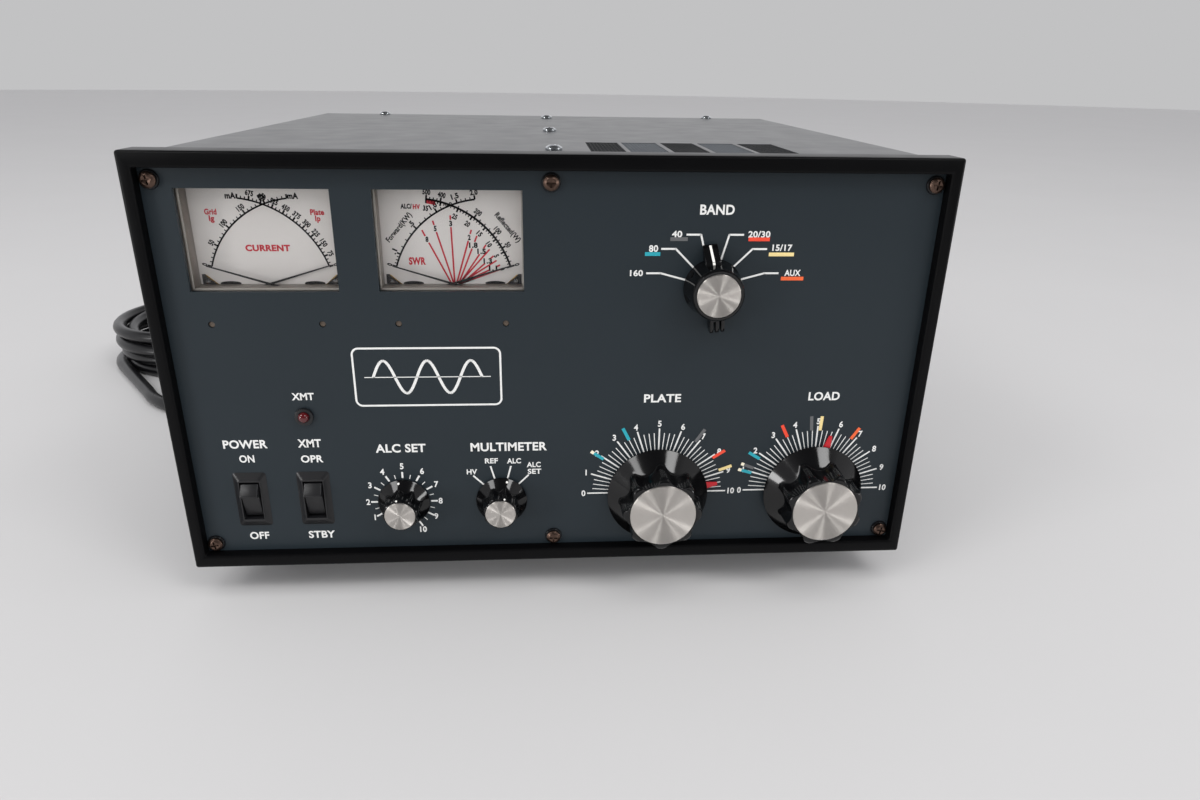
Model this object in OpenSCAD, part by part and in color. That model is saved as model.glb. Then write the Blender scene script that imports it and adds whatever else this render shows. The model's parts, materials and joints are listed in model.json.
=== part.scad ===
// HF linear amplifier in a table-top steel case, with two cross-needle meters, six rotary
// controls, two rocker switches and its mains lead. Millimetres, Z up, front face towards -Y.

/* [Case] */
// Width of the front bezel
bezel_w = 356; // [352:1:362]
// Height of the front bezel
bezel_h = 198; // [196:1:202]
// Depth of the bezel, front to back
bezel_d = 16; // [14:1:18]
// Height of the bezel's lower edge above the table
lift = 18; // [16:1:20]
// Depth of the case, from the bezel's face to the cover's rear edge
case_d = 338; // [334:1:342]
// Width of the steel cover
cover_w = 350; // [348:1:351]
// Thickness of the steel sheet
sheet = 1.5; // [1.2:0.1:1.6]
// Depth of the panel's face behind the bezel's face
panel_recess = 5.5; // [5:0.5:6]
// Thickness of the front panel
panel_t = 2; // [1.8:0.1:2.2]
// Diameter of a rubber foot at the case
foot_d = 26; // [22:1:28]

/* [Meters] */
// Width of a meter window
window_w = 64; // [62:0.5:65]
// Height of a meter window
window_h = 44.5; // [43:0.5:45]
// Radius of the scale that a needle sweeps
arc_r = 43.5; // [42:0.5:44]
// Sideways distance of a needle's pivot from the meter's middle
pivot_dx = 15.5; // [14:0.5:17]
// Angle of a needle above level at its zero
needle_zero = 17; // [15:1:19]

/* [Knobs] */
// Diameter of the skirt of the plate and load knobs
dial_knob_d = 50; // [48:1:52]
// Height of the plate and load knobs
dial_knob_h = 21.5; // [20:0.5:22]
// Diameter of the aluminium cap on the plate and load knobs
dial_cap_d = 31.5; // [30:0.5:32]
// Length of the band knob's pointer bar, tip to tail
band_bar = 40; // [38:1:42]
// Height of the band knob
band_knob_h = 15.5; // [15:0.5:17]
// Diameter of the skirt of the two small knobs
small_knob_d = 25; // [24:0.5:26]
// Height of the two small knobs
small_knob_h = 14.5; // [14:0.5:16]

/* [Mains lead] */
// Diameter of the lead
cord_d = 9.8; // [9.6:0.1:9.8]
// Radius of the coil's outermost turn
coil_r = 65; // [63:1:66]
// Distance between neighbouring turns
turn_pitch = 10.3; // [10.3:0.1:10.6]

/* [Hidden] */
$fn = 64;

// Depths along Y. The case and what stands out of it are centred on Y = 0.
knob_gap = 2.5;
front_reach = knob_gap + dial_knob_h - panel_recess;
rear_reach = 23.5;
bezel_y = (front_reach - rear_reach - case_d) / 2;
panel_y = bezel_y + panel_recess;
panel_back = panel_y + panel_t;
sub_back = panel_back + sheet;
case_front = bezel_y + bezel_d;
case_back = bezel_y + case_d;
rear_face = case_back - 2;
rear_inner = rear_face - sheet;

// Heights and widths
bezel_side = 5.3;
bezel_low = 6.3;
bezel_top = 6.9;
open_w = bezel_w - 2 * bezel_side;
open_h = bezel_h - bezel_low - bezel_top;
open_mid = lift + bezel_low + open_h / 2;
fit_gap = 0.2;
floor_z = lift + 2;
deck_z = floor_z + sheet;
cover_top = lift + bezel_h - 2;
pan_w = cover_w - 2 * sheet - 2 * fit_gap;
pan_flange_h = 16;
foot_x = [-146, 146];
foot_y = [-128, 138];

// Front panel places: across from the middle, and up from the bezel's lower edge
screw_places = [[-168.2, 186], [-1.8, 186], [168.2, 186],
                [-168.2, 11], [-1.8, 11], [168.2, 11]];
meter_x = [-127.8, -46.3];
meter_z = lift + 160.2;
pivot_z = lift + 134.5;
trimmer_places = [[-153, 123.1], [-104.7, 123.1], [-71, 123.1], [-22.8, 123.1]];
switch_x = [-147.4, -117.6];
switch_z = lift + 35;
lamp_place = [-117.8, lift + 78.5];
band_place = [71, lift + 140];
plate_place = [50.1, lift + 34.8];
load_place = [128.9, lift + 35];
alc_place = [-75, lift + 32.2];
multi_place = [-27.3, lift + 32.2];

// Knob settings as the controls stand, in degrees clockwise from straight up
plate_setting = (9.5 - 5) * 18;
load_setting = (5.7 - 5) * 18;
band_setting = -7.5;
alc_setting = (4.7 - 5) * 30;
multi_setting = 15;

// Shafts: a quarter inch, in running clearance
shaft_r = 3.175;
run_gap = 0.05;
sleeve_r = 5;
pin_r = 0.5;
small_shaft_r = 3;
bush_r = 4.7;

// Metal caps of the knobs, and the play round them in their seats
small_cap_r = 7.2;
band_cap_r = 9.7;
seat_gap = 0.05;

// Screws through the cover
screw_r = 1.9;
top_screws = [[0, bezel_y + 42.5], [-0.6, bezel_y + 166.5], [-1.2, bezel_y + 306],
              [-127, case_back - 7], [127, case_back - 7]];
side_screws_y = [-120, 10, 140];

// Vents in the cover
vent_x = [17, 35.5, 56, 75.5, 96.5];
vent_w = [16.5, 18, 17, 18.5, 18.5];
vent_y = bezel_y + 36.5;
vent_d = 51;
vent_slot = 3;
vent_step = 5;

// Meter depths: window, two needles one behind the other, and the scale plate
window_t = 1.5;
window_y = panel_back + 0.3;
needle_t = 0.4;
near_needle_y = panel_y + 9;
far_needle_y = panel_y + 10.6;
dial_y = panel_y + 12.5;
dial_t = 1;
meter_case_w = 76;
meter_case_h = 62;
meter_case_d = 32;
meter_case_z = lift + 158.5;

// Rocker switches
rocker_w = 8.4;
rocker_h = 18.6;
rocker_gap = 0.5;
rocker_tilt = 8;
rocker_pivot_y = panel_y + 2.5;
rocker_pin_r = 1.4;
switch_frame = [15.6, 29];
switch_body = [13.6, 27, 20];

// Variable capacitors behind the plate and load knobs
drive_d = 30;
drive_l = 12;
pointer_gap = 1.2;
pointer_t = 0.8;
vane_r = 25;
vane_t = 1;
vane_step = 6;
vanes = 9;
frame_front = sub_back + drive_l + 14;
frame_l = vanes * vane_step + 10;
frame_w = 62;
frame_low = deck_z;
frame_high = plate_place[1] + 30;

// Wafers and shaft of the band switch
band_shaft_front = panel_y - 12;
wafer_y = [sub_back + 14, sub_back + 44, sub_back + 74];

// Transformer: corners of its core, its middle leg and the windows beside it
core_low = [-160, 56, deck_z];
core_high = [-50, 114, deck_z + 116];
leg_w = 36;
winding_gap = 20;
window_tall = 76;
winding_out = 18;

// Boards, and the tube with its coils
cap_board_z = deck_z + 8;
board_t = 1.6;
tube_place = [68, 50];
tube_base_z = deck_z + 24;

// Sockets and fittings on the rear panel
rf_places = [[130, lift + 110], [130, lift + 60]];
phono_places = [[-20, lift + 40], [-20, lift + 62], [-20, lift + 84]];
fuse_places = [[-140, lift + 66], [-140, lift + 96]];
ground_place = [95, lift + 22];

// Fan behind the rear panel
fan_place = [62, lift + 78];
fan_w = 92;
fan_d = 25;
fan_bore_r = 43;
fan_blades = 7;

// Mains lead: where it leaves, its route by hand, and the coil's middle
cord_r = cord_d / 2;
cord_x = -140;
cord_z = 45;
gland_l = 28;
gland_end = rear_face + gland_l;
lead_route = [
    [cord_x, gland_end, cord_z], [cord_x, gland_end + 4, cord_z], [cord_x, gland_end + 14, cord_z],
    [-140, 221, 42], [-142, 239, 33],
    [-149, 256, 20], [-163, 272, 9], [-183, 280, 4.9], [-205, 274, 4.9], [-221, 257, 4.9],
    [-227, 235, 4.9], [-227, 206, 4.9], [-227, 175, 4.9], [-227, 144, 4.9], [-227, 114, 4.9],
    [-236, 88, 4.9], [-258, 71, 4.9], [-286, 71, 4.9], [-308, 87, 4.9], [-323, 107, 4.9],
    [-338, 127, 4.9], [-353, 147, 4.9], [-362, 159, 4.9]
];
coil_middle = [-316, 206];
coil_start = 180 + atan2(0.6, 0.8);
coil_layers = 4;
coil_turns = 5 + (coil_start - 90) / 360;
layer_turns = coil_turns / coil_layers;
rings_per_turn = 24;
straight_end = 10;
plug_z = 15;
coil_top = cord_r + (coil_layers - 1) * turn_pitch;
tail_route = [
    [-306, 271, coil_top], [-294, 271, coil_top], [-279, 274, 32.5], [-265, 283, 25.5],
    [-253, 293, 19], [-241, 300, 15.8], [-230, 303, plug_z], [-220, 303, plug_z]
];

// --- Helpers ---------------------------------------------------------------

// Draws its children at a place on the front, with their +Z towards the viewer
module facing(place, y) {
    translate([place[0], y, place[1]]) rotate([90, 0, 0]) children();
}

// Rectangle with round corners, made of squares and circles
module round_rect(w, h, r) {
    square([w - 2 * r, h], center = true);
    square([w, h - 2 * r], center = true);
    for (sx = [-1, 1]) for (sy = [-1, 1])
        translate([sx * (w / 2 - r), sy * (h / 2 - r)]) circle(r = r, $fn = 32);
}

// Block given by its lowest and highest corners
module block(low, high) {
    translate(low) cube(high - low);
}

// Disc or rod from y0 to y1 at a place on the front
module rod(place, y0, y1, r) {
    facing(place, y1) cylinder(r = r, h = y1 - y0);
}

function unit(v) = v / norm(v);

function catmull(a, b, c, d, t) =
    0.5 * (2 * b + (c - a) * t + (2 * a - 5 * b + 4 * c - d) * t * t
           + (3 * b - a - 3 * c + d) * t * t * t);

// The route with `steps` rings in each span, and its own ends
function smooth_route(p, steps) = [
    for (i = [0 : len(p) - 2]) for (s = [0 : steps - 1])
        let (q = catmull(p[max(i - 1, 0)], p[i], p[i + 1], p[min(i + 2, len(p) - 1)], s / steps))
        [q[0], q[1], max(q[2], cord_r)],
    p[len(p) - 1]
];

function heading(p, i) = unit(p[min(i + 1, len(p) - 1)] - p[max(i - 1, 0)]);

function ring(centre, along, r, sides) =
    let (side = unit(cross(along, [0, 0, 1])), up = cross(side, along))
    [for (k = [0 : sides - 1]) centre + r * (cos(k * 360 / sides) * up + sin(k * 360 / sides) * side)];

// Closed tube along a list of points
module tube(path, r, sides) {
    n = len(path);
    points = [for (i = [0 : n - 1]) each ring(path[i], heading(path, i), r, sides)];
    walls = [
        for (i = [0 : n - 2]) for (k = [0 : sides - 1])
            let (a = i * sides + k, b = i * sides + (k + 1) % sides)
            each [[a, b, b + sides], [a, b + sides, a + sides]]
    ];
    first = [for (k = [1 : sides - 2]) [0, k + 1, k]];
    last = [for (k = [1 : sides - 2]) [(n - 1) * sides, (n - 1) * sides + k, (n - 1) * sides + k + 1]];
    polyhedron(points = points, faces = concat(walls, first, last), convexity = 10);
}

// --- Case -------------------------------------------------------------------

module chassis_pan() color("silver") {
    y_mid = (case_front + rear_inner) / 2;
    difference() {
        union() {
            block([-pan_w / 2, case_front, floor_z], [pan_w / 2, rear_inner, deck_z]);
            for (s = [-1, 1])
                translate([s * (pan_w - sheet) / 2, y_mid, floor_z + pan_flange_h / 2])
                    cube([sheet, rear_inner - case_front, pan_flange_h], center = true);
        }
        for (s = [-1, 1]) for (row = [-2 : 2])
            translate([s * 40, row * 45 + 10, floor_z - 1]) linear_extrude(sheet + 2)
                square([50, 4], center = true);
    }
}

module panel_holes() {
    for (x = meter_x) translate([x, meter_z]) square([window_w, window_h], center = true);
    for (x = switch_x)
        translate([x, switch_z]) square([switch_body[0] + 0.2, switch_body[1] + 0.2], center = true);
    for (p = screw_places) translate([p[0], lift + p[1]]) circle(r = 2);
    translate(lamp_place) circle(r = 3.6);
    for (p = [plate_place, load_place]) translate(p) circle(r = sleeve_r + 1);
    for (p = [band_place, alc_place, multi_place]) translate(p) circle(r = bush_r + 0.1);
}

module sub_panel() color("silver") {
    translate([0, sub_back, 0]) rotate([90, 0, 0]) linear_extrude(sheet) difference() {
        translate([0, open_mid]) square([open_w - 1.8, open_h - 2 * fit_gap], center = true);
        panel_holes();
        for (x = meter_x)
            translate([x, meter_case_z]) square([meter_case_w + 0.4, meter_case_h + 0.4], center = true);
        for (p = trimmer_places) translate([p[0], lift + p[1]]) square(6, center = true);
    }
    for (s = [-1, 1])
        translate([s * (open_w / 2 - 0.9 - sheet / 2), (panel_back + case_front) / 2 + 8, open_mid])
            cube([sheet, case_front - panel_back + 16, open_h - 2], center = true);
}

module front_panel() color("#343c42") {
    translate([0, panel_back, 0]) rotate([90, 0, 0]) linear_extrude(panel_t) difference() {
        translate([0, open_mid]) square([open_w - 2 * fit_gap, open_h - 2 * fit_gap], center = true);
        panel_holes();
        for (p = trimmer_places) translate([p[0], lift + p[1]]) circle(r = 1.5);
    }
}

module front_bezel() color("#1b1c1f") {
    corner_r = 3;
    edge = 1.4;
    translate([0, bezel_y + bezel_d, lift + bezel_h / 2]) rotate([90, 0, 0]) difference() {
        union() {
            linear_extrude(bezel_d - edge) round_rect(bezel_w, bezel_h, corner_r);
            linear_extrude(bezel_d) round_rect(bezel_w - 2 * edge, bezel_h - 2 * edge, corner_r - edge);
        }
        translate([0, open_mid - lift - bezel_h / 2, -1]) linear_extrude(bezel_d + 2)
            square([open_w, open_h], center = true);
    }
}

module top_cover() color("#4a4c50") {
    bend = 2.5;
    height = cover_top - floor_z;
    difference() {
        translate([0, case_back, 0]) rotate([90, 0, 0]) linear_extrude(case_back - case_front)
            difference() {
                union() {
                    translate([0, floor_z + (height - bend) / 2])
                        square([cover_w, height - bend], center = true);
                    translate([0, cover_top - bend])
                        square([cover_w - 2 * bend, 2 * bend], center = true);
                    for (s = [-1, 1])
                        translate([s * (cover_w / 2 - bend), cover_top - bend]) circle(r = bend, $fn = 32);
                }
                translate([0, floor_z + (height - sheet) / 2 - 1])
                    square([cover_w - 2 * sheet, height - sheet + 2], center = true);
            }
        for (i = [0 : len(vent_x) - 1])
            block([vent_x[i], vent_y, cover_top - 5],
                  [vent_x[i] + vent_w[i], vent_y + vent_d, cover_top + 1]);
        at_cover_screws() cylinder(r = screw_r + fit_gap, h = 4 * sheet, center = true);
    }
}

// Draws its children at each cover screw, with their +Z out of the cover
module at_cover_screws() {
    for (p = top_screws) translate([p[0], p[1], cover_top]) rotate(20 * p[1]) children();
    for (s = [-1, 1]) for (y = side_screws_y)
        translate([s * cover_w / 2, y, floor_z + 9]) rotate([0, s * 90, 0]) rotate(y) children();
}

module vent_screen() color("#35373b") {
    rim = 3;
    last = len(vent_x) - 1;
    translate([0, 0, cover_top - sheet - 1]) linear_extrude(1) difference() {
        translate([vent_x[0] - rim, vent_y - rim])
            square([vent_x[last] + vent_w[last] - vent_x[0] + 2 * rim, vent_d + 2 * rim]);
        for (i = [0 : last]) for (k = [0 : floor(vent_d / vent_step) - 1])
            translate([vent_x[i] + 1.2, vent_y + 1 + k * vent_step])
                square([vent_w[i] - 2.4, vent_slot]);
    }
}

module rear_panel() color("#4a4c50") {
    width = pan_w - 2 * fit_gap;
    translate([0, rear_face, 0]) rotate([90, 0, 0]) linear_extrude(sheet) difference() {
        translate([0, (deck_z + cover_top - sheet) / 2])
            square([width, cover_top - sheet - deck_z - fit_gap], center = true);
        translate(fan_place) for (r = [12 : 8 : 36]) difference() {
            circle(r = r + 5);
            circle(r = r);
            for (a = [0, 90]) rotate(a + 45) square([2 * fan_bore_r, 5], center = true);
        }
        translate([cord_x, cord_z]) circle(r = 7.5);
        for (p = rf_places) translate(p) circle(r = 5.5);
        for (p = phono_places) translate(p) circle(r = 3.2);
        for (p = fuse_places) translate(p) circle(r = 6.2);
        translate(ground_place) circle(r = 2.6);
        for (k = [0 : 5]) translate([-110 + 13 * k, lift + 150]) square([6, 44], center = true);
    }
}

module rubber_feet() color("#18181a") {
    for (x = foot_x) for (y = foot_y)
        translate([x, y, 0]) difference() {
            cylinder(r1 = foot_d / 2 - 2.5, r2 = foot_d / 2, h = floor_z);
            translate([0, 0, -1]) cylinder(r = 4, h = 6);
        }
}

// Pan-head screw along +Z with a cross recess
module screw(head_r, head_h, shank_r, shank_l) {
    slot = head_r * 0.24;
    difference() {
        union() {
            cylinder(r = head_r, h = head_h * 0.55);
            translate([0, 0, head_h * 0.55]) cylinder(r1 = head_r, r2 = head_r * 0.62, h = head_h * 0.45);
        }
        for (a = [0, 90]) rotate(a)
            translate([-head_r * 0.6, -slot / 2, head_h * 0.45]) cube([head_r * 1.2, slot, head_h]);
    }
    translate([0, 0, -shank_l]) cylinder(r = shank_r, h = shank_l);
}

module cover_screws() color("#c9ccd0") {
    at_cover_screws() screw(4, 2.2, screw_r, sheet);
}

module panel_screws() color("#6f5a52") {
    for (p = screw_places)
        facing([p[0], lift + p[1]], panel_y - 1) rotate(p[0]) screw(3.4, 2, screw_r, 1 + panel_t + sheet);
}

module cup_washers() color("#17181a") {
    for (p = screw_places) facing([p[0], lift + p[1]], panel_y) difference() {
        cylinder(r1 = 4.3, r2 = 3.9, h = 1);
        translate([0, 0, -1]) cylinder(r = 1.95, h = 3);
    }
}

// --- Power supply and output stage -------------------------------------------

module rf_shield() color("silver") {
    x = 4;
    block([x, case_front + 12, deck_z], [x + sheet, rear_inner - 6, deck_z + 150]);
    block([x + sheet, case_front + 12, deck_z], [x + sheet + 10, rear_inner - 6, deck_z + sheet]);
}

module transformer_core() color("#5b4a3c") {
    x_mid = (core_low[0] + core_high[0]) / 2;
    difference() {
        block(core_low, core_high);
        for (s = [-1, 1])
            translate([x_mid + s * (leg_w + winding_gap) / 2, (core_low[1] + core_high[1]) / 2,
                       (core_low[2] + core_high[2]) / 2])
                cube([winding_gap, core_high[1] - core_low[1] + 2, window_tall], center = true);
    }
}

module transformer_winding() color("#8a5a2a") {
    x_mid = (core_low[0] + core_high[0]) / 2;
    z_mid = (core_low[2] + core_high[2]) / 2;
    depth = core_high[1] - core_low[1];
    difference() {
        translate([x_mid, (core_low[1] + core_high[1]) / 2, z_mid])
            cube([leg_w + 2 * winding_gap, depth + 2 * winding_out, window_tall], center = true);
        translate([x_mid, (core_low[1] + core_high[1]) / 2, z_mid])
            cube([leg_w, depth, window_tall + 2], center = true);
    }
}

module filter_capacitors() color("#27415e") {
    for (i = [0 : 3]) for (j = [0, 1])
        translate([-138 + 34 * i, -92 + 36 * j, cap_board_z + board_t]) {
            cylinder(r = 15, h = 48);
            translate([0, 0, 48]) cylinder(r = 12.5, h = 1);
        }
}

module board_on_pillars(low, size, z) {
    inset = 6;
    translate([low[0], low[1], z]) cube([size[0], size[1], board_t]);
    for (x = [inset, size[0] - inset]) for (y = [inset, size[1] - inset])
        translate([low[0] + x, low[1] + y, deck_z]) cylinder(r = 3, h = z - deck_z);
}

module circuit_boards() color("#2f5b3a") {
    board_on_pillars([-160, -114], [150, 80], cap_board_z);
    board_on_pillars([-160, -24], [150, 56], cap_board_z);
    for (x = [-150, -110, -70, -38])
        block([x, -14, cap_board_z + board_t], [x + 24, 18, cap_board_z + 26]);
    trimmer_board_y = sub_back + 3;
    block([-158, trimmer_board_y, lift + 112], [-18, trimmer_board_y + board_t, lift + 123]);
    for (p = trimmer_places)
        rod([p[0], lift + p[1]], panel_back + 0.6, trimmer_board_y + board_t, 2.4);
}

module tube_socket() color("#d8d2c4") {
    translate([tube_place[0], tube_place[1], deck_z]) {
        difference() {
            translate([-45, -45, 22.5]) cube([90, 90, 1.5]);
            translate([0, 0, 20]) cylinder(r = 26, h = 6);
        }
        for (x = [-42, 42]) for (y = [-42, 42]) translate([x, y, 0]) cylinder(r = 3, h = 22.5);
        difference() {
            translate([0, 0, 8]) cylinder(r = 26, h = 16);
            translate([0, 0, 16]) cylinder(r = 22, h = 10);
        }
    }
}

module tube_glass() color([0.8, 0.85, 0.9, 0.4]) {
    translate([tube_place[0], tube_place[1], tube_base_z]) rotate_extrude() difference() {
        union() {
            square([21.5, 22]);
            translate([0, 22]) square([43, 78]);
            translate([0, 100]) polygon([[0, 0], [43, 0], [36, 12], [12, 20], [0, 20]]);
        }
        translate([0, 24]) square([41, 75]);
    }
}

module tube_anode() color("#8d9094") {
    translate([tube_place[0], tube_place[1], tube_base_z]) {
        difference() {
            translate([0, 0, 40]) cylinder(r = 30, h = 45);
            translate([0, 0, 38]) cylinder(r = 27, h = 44);
        }
        translate([0, 0, 85]) cylinder(r = 4, h = 14);
        translate([0, 0, 120]) {
            cylinder(r = 6, h = 26);
            for (k = [0 : 4]) translate([0, 0, 2 + 5 * k]) cylinder(r = 17, h = 1);
        }
    }
}

module tank_coils() color("#b87333") {
    translate([143, 40, deck_z + 60]) rotate([90, 0, 0]) difference() {
        cylinder(r = 27, h = 90, center = true);
        cylinder(r = 23, h = 92, center = true);
    }
    for (y = [-1, 81]) block([138, y - 3, deck_z], [148, y + 3, deck_z + 35]);
    translate([30, 112, deck_z]) difference() {
        cylinder(r = 12, h = 110);
        translate([0, 0, 6]) cylinder(r = 9, h = 110);
    }
    translate([140, -34, deck_z]) difference() {
        cylinder(r = 26, h = 18);
        translate([0, 0, -1]) cylinder(r = 14, h = 20);
    }
}

module fan_housing() color("#1c1d20") {
    hub_r = 12;
    facing(fan_place, rear_inner) {
        linear_extrude(fan_d) difference() {
            round_rect(fan_w, fan_w, 6);
            circle(r = fan_bore_r);
        }
        linear_extrude(3) {
            circle(r = hub_r);
            for (a = [0 : 120 : 240]) rotate(a) translate([0, -2.5]) square([fan_bore_r + 1, 5]);
        }
        cylinder(r = 1.5, h = 16);
    }
}

module fan_rotor() color("#26282c") {
    hub_r = 17;
    facing(fan_place, rear_inner - 4) {
        difference() {
            cylinder(r = hub_r, h = 18);
            translate([0, 0, -1]) cylinder(r = 1.5 + run_gap, h = 14);
        }
        for (k = [0 : fan_blades - 1]) rotate(k * 360 / fan_blades)
            translate([(hub_r + fan_bore_r - 2) / 2 - 0.5, 0, 9]) rotate([35, 0, 0])
                cube([fan_bore_r - hub_r - 1, 22, 1.6], center = true);
    }
}

// --- Meters --------------------------------------------------------------------

module meter_cases() color("#202124") {
    for (x = meter_x) facing([x, meter_case_z], panel_back + meter_case_d) difference() {
        linear_extrude(meter_case_d) square([meter_case_w, meter_case_h], center = true);
        translate([0, 0, meter_case_d - (dial_y + dial_t - panel_back)]) linear_extrude(meter_case_d)
            square([meter_case_w - 4, meter_case_h - 4], center = true);
        for (s = [-1, 1])
            translate([s * pivot_dx, pivot_z - meter_case_z, meter_case_d - 20])
                cylinder(r = pin_r + run_gap, h = 20);
    }
}

module meter_dials() color("#d9dadb") {
    for (x = meter_x) facing([x, meter_case_z], dial_y + dial_t) difference() {
        linear_extrude(dial_t) square([meter_case_w - 4, meter_case_h - 4], center = true);
        for (s = [-1, 1]) translate([s * pivot_dx, pivot_z - meter_case_z, -1])
            cylinder(r = pin_r + run_gap, h = dial_t + 2);
    }
}

module meter_windows() color([0.9, 0.95, 1, 0.3]) {
    for (x = meter_x) facing([x, meter_case_z], window_y + window_t) linear_extrude(window_t)
        square([meter_case_w - 4, meter_case_h - 4], center = true);
}

// Needle that pivots on one side and lies towards the other: side is -1 for a pivot on the left
module needle(x, side, y) color("#111213") {
    facing([x + side * pivot_dx, pivot_z], y + needle_t) {
        cylinder(r = 1.8, h = needle_t);
        rotate(side > 0 ? 180 - needle_zero : needle_zero) linear_extrude(needle_t)
            polygon([[0, -0.6], [arc_r + 1, -0.25], [arc_r + 1, 0.25], [0, 0.6]]);
        pin_l = dial_y + dial_t + 6 - y;
        translate([0, 0, needle_t - pin_l]) cylinder(r = pin_r, h = pin_l);
    }
}

module grid_needle() needle(meter_x[0], 1, near_needle_y);
module plate_needle() needle(meter_x[0], -1, far_needle_y);
module forward_needle() needle(meter_x[1], 1, near_needle_y);
module reflected_needle() needle(meter_x[1], -1, far_needle_y);

// --- Switches and lamp -----------------------------------------------------------

module switch_bodies() color("#141517") {
    front = 2;
    for (x = switch_x) facing([x, switch_z], panel_y + switch_body[2]) difference() {
        union() {
            linear_extrude(switch_body[2]) square([switch_body[0], switch_body[1]], center = true);
            translate([0, 0, switch_body[2]]) linear_extrude(front)
                round_rect(switch_frame[0], switch_frame[1], 1.5);
        }
        translate([0, 0, 6]) linear_extrude(switch_body[2])
            square([rocker_w + 2 * rocker_gap, rocker_h + 3 * rocker_gap], center = true);
        translate([0, 0, switch_body[2] + panel_y - rocker_pivot_y]) rotate([0, 90, 0])
            cylinder(r = rocker_pin_r + run_gap, h = rocker_w + 3, center = true);
    }
}

// Rocker with a ridge across its middle, lower end pressed in
module rocker(x) color("#1e1f21") {
    ridge = 8;
    face = 2.5;
    translate([x, rocker_pivot_y, switch_z]) rotate([rocker_tilt, 0, 0]) {
        rotate([90, 0, 90]) linear_extrude(rocker_w, center = true)
            polygon([[-face, -rocker_h / 2], [-ridge, -0.8], [-ridge, 0.8], [-face, rocker_h / 2],
                     [5, rocker_h / 2 - 3.5], [5, 3.5 - rocker_h / 2]]);
        rotate([0, 90, 0]) cylinder(r = rocker_pin_r, h = rocker_w + 2.6, center = true);
    }
}

module power_rocker() rocker(switch_x[0]);
module standby_rocker() rocker(switch_x[1]);

module lamp_holder() color("#151618") {
    facing(lamp_place, panel_y + 8) rotate_extrude() difference() {
        union() {
            square([3.5, 8]);
            translate([0, 8]) square([4.25, 1.6]);
        }
        translate([0, -1]) square([2.5, 12]);
    }
}

module lamp_lens() color("#8a1216") {
    facing(lamp_place, panel_y + 6) {
        cylinder(r = 2.45, h = 8.5);
        translate([0, 0, 8.5]) cylinder(r1 = 2.45, r2 = 1.2, h = 1.4);
    }
}

// --- Knobs -------------------------------------------------------------------------

// Reach of a knob's sloping skirt for each millimetre that it rises, and height of its rim
skirt_slope = 1.1;
skirt_rim = 0.055;

// Knob with a sloping skirt, a body with finger flutes that end on the skirt, and a seat
// for a metal cap
module skirted_knob(skirt_r, nose_r, height, cap_r, flutes, flute_r) {
    rim = height * skirt_rim;
    skirt_h = rim + (skirt_r - cap_r) / skirt_slope;
    difference() {
        union() {
            rotate_extrude() polygon([
                [0, 0], [skirt_r - 0.4, 0], [skirt_r, 0.4], [skirt_r, rim], [cap_r, skirt_h],
                [0, skirt_h]
            ]);
            difference() {
                rotate_extrude() polygon([
                    [0, rim], [nose_r + 0.4, rim], [nose_r, height - 1.2],
                    [nose_r - 0.8, height - 0.4], [0, height - 0.4]
                ]);
                for (k = [0 : flutes - 1]) rotate((k + 0.5) * 360 / flutes)
                    translate([cap_r + 0.5 + flute_r, 0, 0]) cylinder(r = flute_r, h = height);
            }
        }
        translate([0, 0, height - 0.9]) cylinder(r = cap_r + seat_gap, h = 2);
        translate([0, 0, -1]) cylinder(r = skirt_r * 0.68, h = height * 0.18 + 1);
    }
}

// Spun aluminium disc in a knob's nose
module knob_cap(r, height) {
    translate([0, 0, height - 0.9]) cylinder(r = r, h = 0.5);
    translate([0, 0, height - 0.4]) cylinder(r1 = r, r2 = r - 0.3, h = 0.4);
}

module dial_knob(place, turn) color("#0d0d0f") {
    facing(place, panel_y - knob_gap) rotate(-turn) {
        skirted_knob(dial_knob_d / 2, 19.2, dial_knob_h, dial_cap_d / 2, 8, 9);
        translate([0, 0, -17]) cylinder(r = shaft_r, h = 17 + dial_knob_h - 4);
    }
}

module dial_cap(place) color("#c3c1bd") {
    facing(place, panel_y - knob_gap) knob_cap(dial_cap_d / 2, dial_knob_h);
}

module plate_knob() dial_knob(plate_place, 0);
module plate_cap() dial_cap(plate_place);
module load_knob() dial_knob(load_place, 20);
module load_cap() dial_cap(load_place);

// Pointer plate on a tuning drive's output sleeve
module dial_pointer(place, setting) color("#b0181c") {
    tip = 30.6;
    facing(place, panel_y - pointer_gap + pointer_t / 2) rotate(-setting) linear_extrude(pointer_t)
        difference() {
            union() {
                circle(r = 11);
                polygon([[-4, 0], [4, 0], [1.9, 24], [0.8, tip], [-0.8, tip], [-1.9, 24]]);
            }
            circle(r = sleeve_r);
        }
}

module plate_pointer() dial_pointer(plate_place, plate_setting);
module load_pointer() dial_pointer(load_place, load_setting);

// Output sleeve, shaft and half-round vanes of a variable capacitor
module tuning_rotor(place, setting) color("#a9adb1") {
    sleeve_back = sub_back + drive_l + 3;
    difference() {
        rod(place, panel_y - pointer_gap - pointer_t, sleeve_back, sleeve_r);
        rod(place, panel_y - pointer_gap - pointer_t - 1, sleeve_back - 3, shaft_r + run_gap);
    }
    rod(place, sleeve_back, frame_front + frame_l + 6, shaft_r);
    for (k = [0 : vanes - 1])
        facing(place, frame_front + 7 + k * vane_step + vane_t) rotate(-setting) linear_extrude(vane_t)
            difference() {
                circle(r = vane_r);
                translate([-30, -35]) square([60, 32]);
            }
}

module plate_rotor() tuning_rotor(plate_place, plate_setting);
module load_rotor() tuning_rotor(load_place, load_setting);

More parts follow.
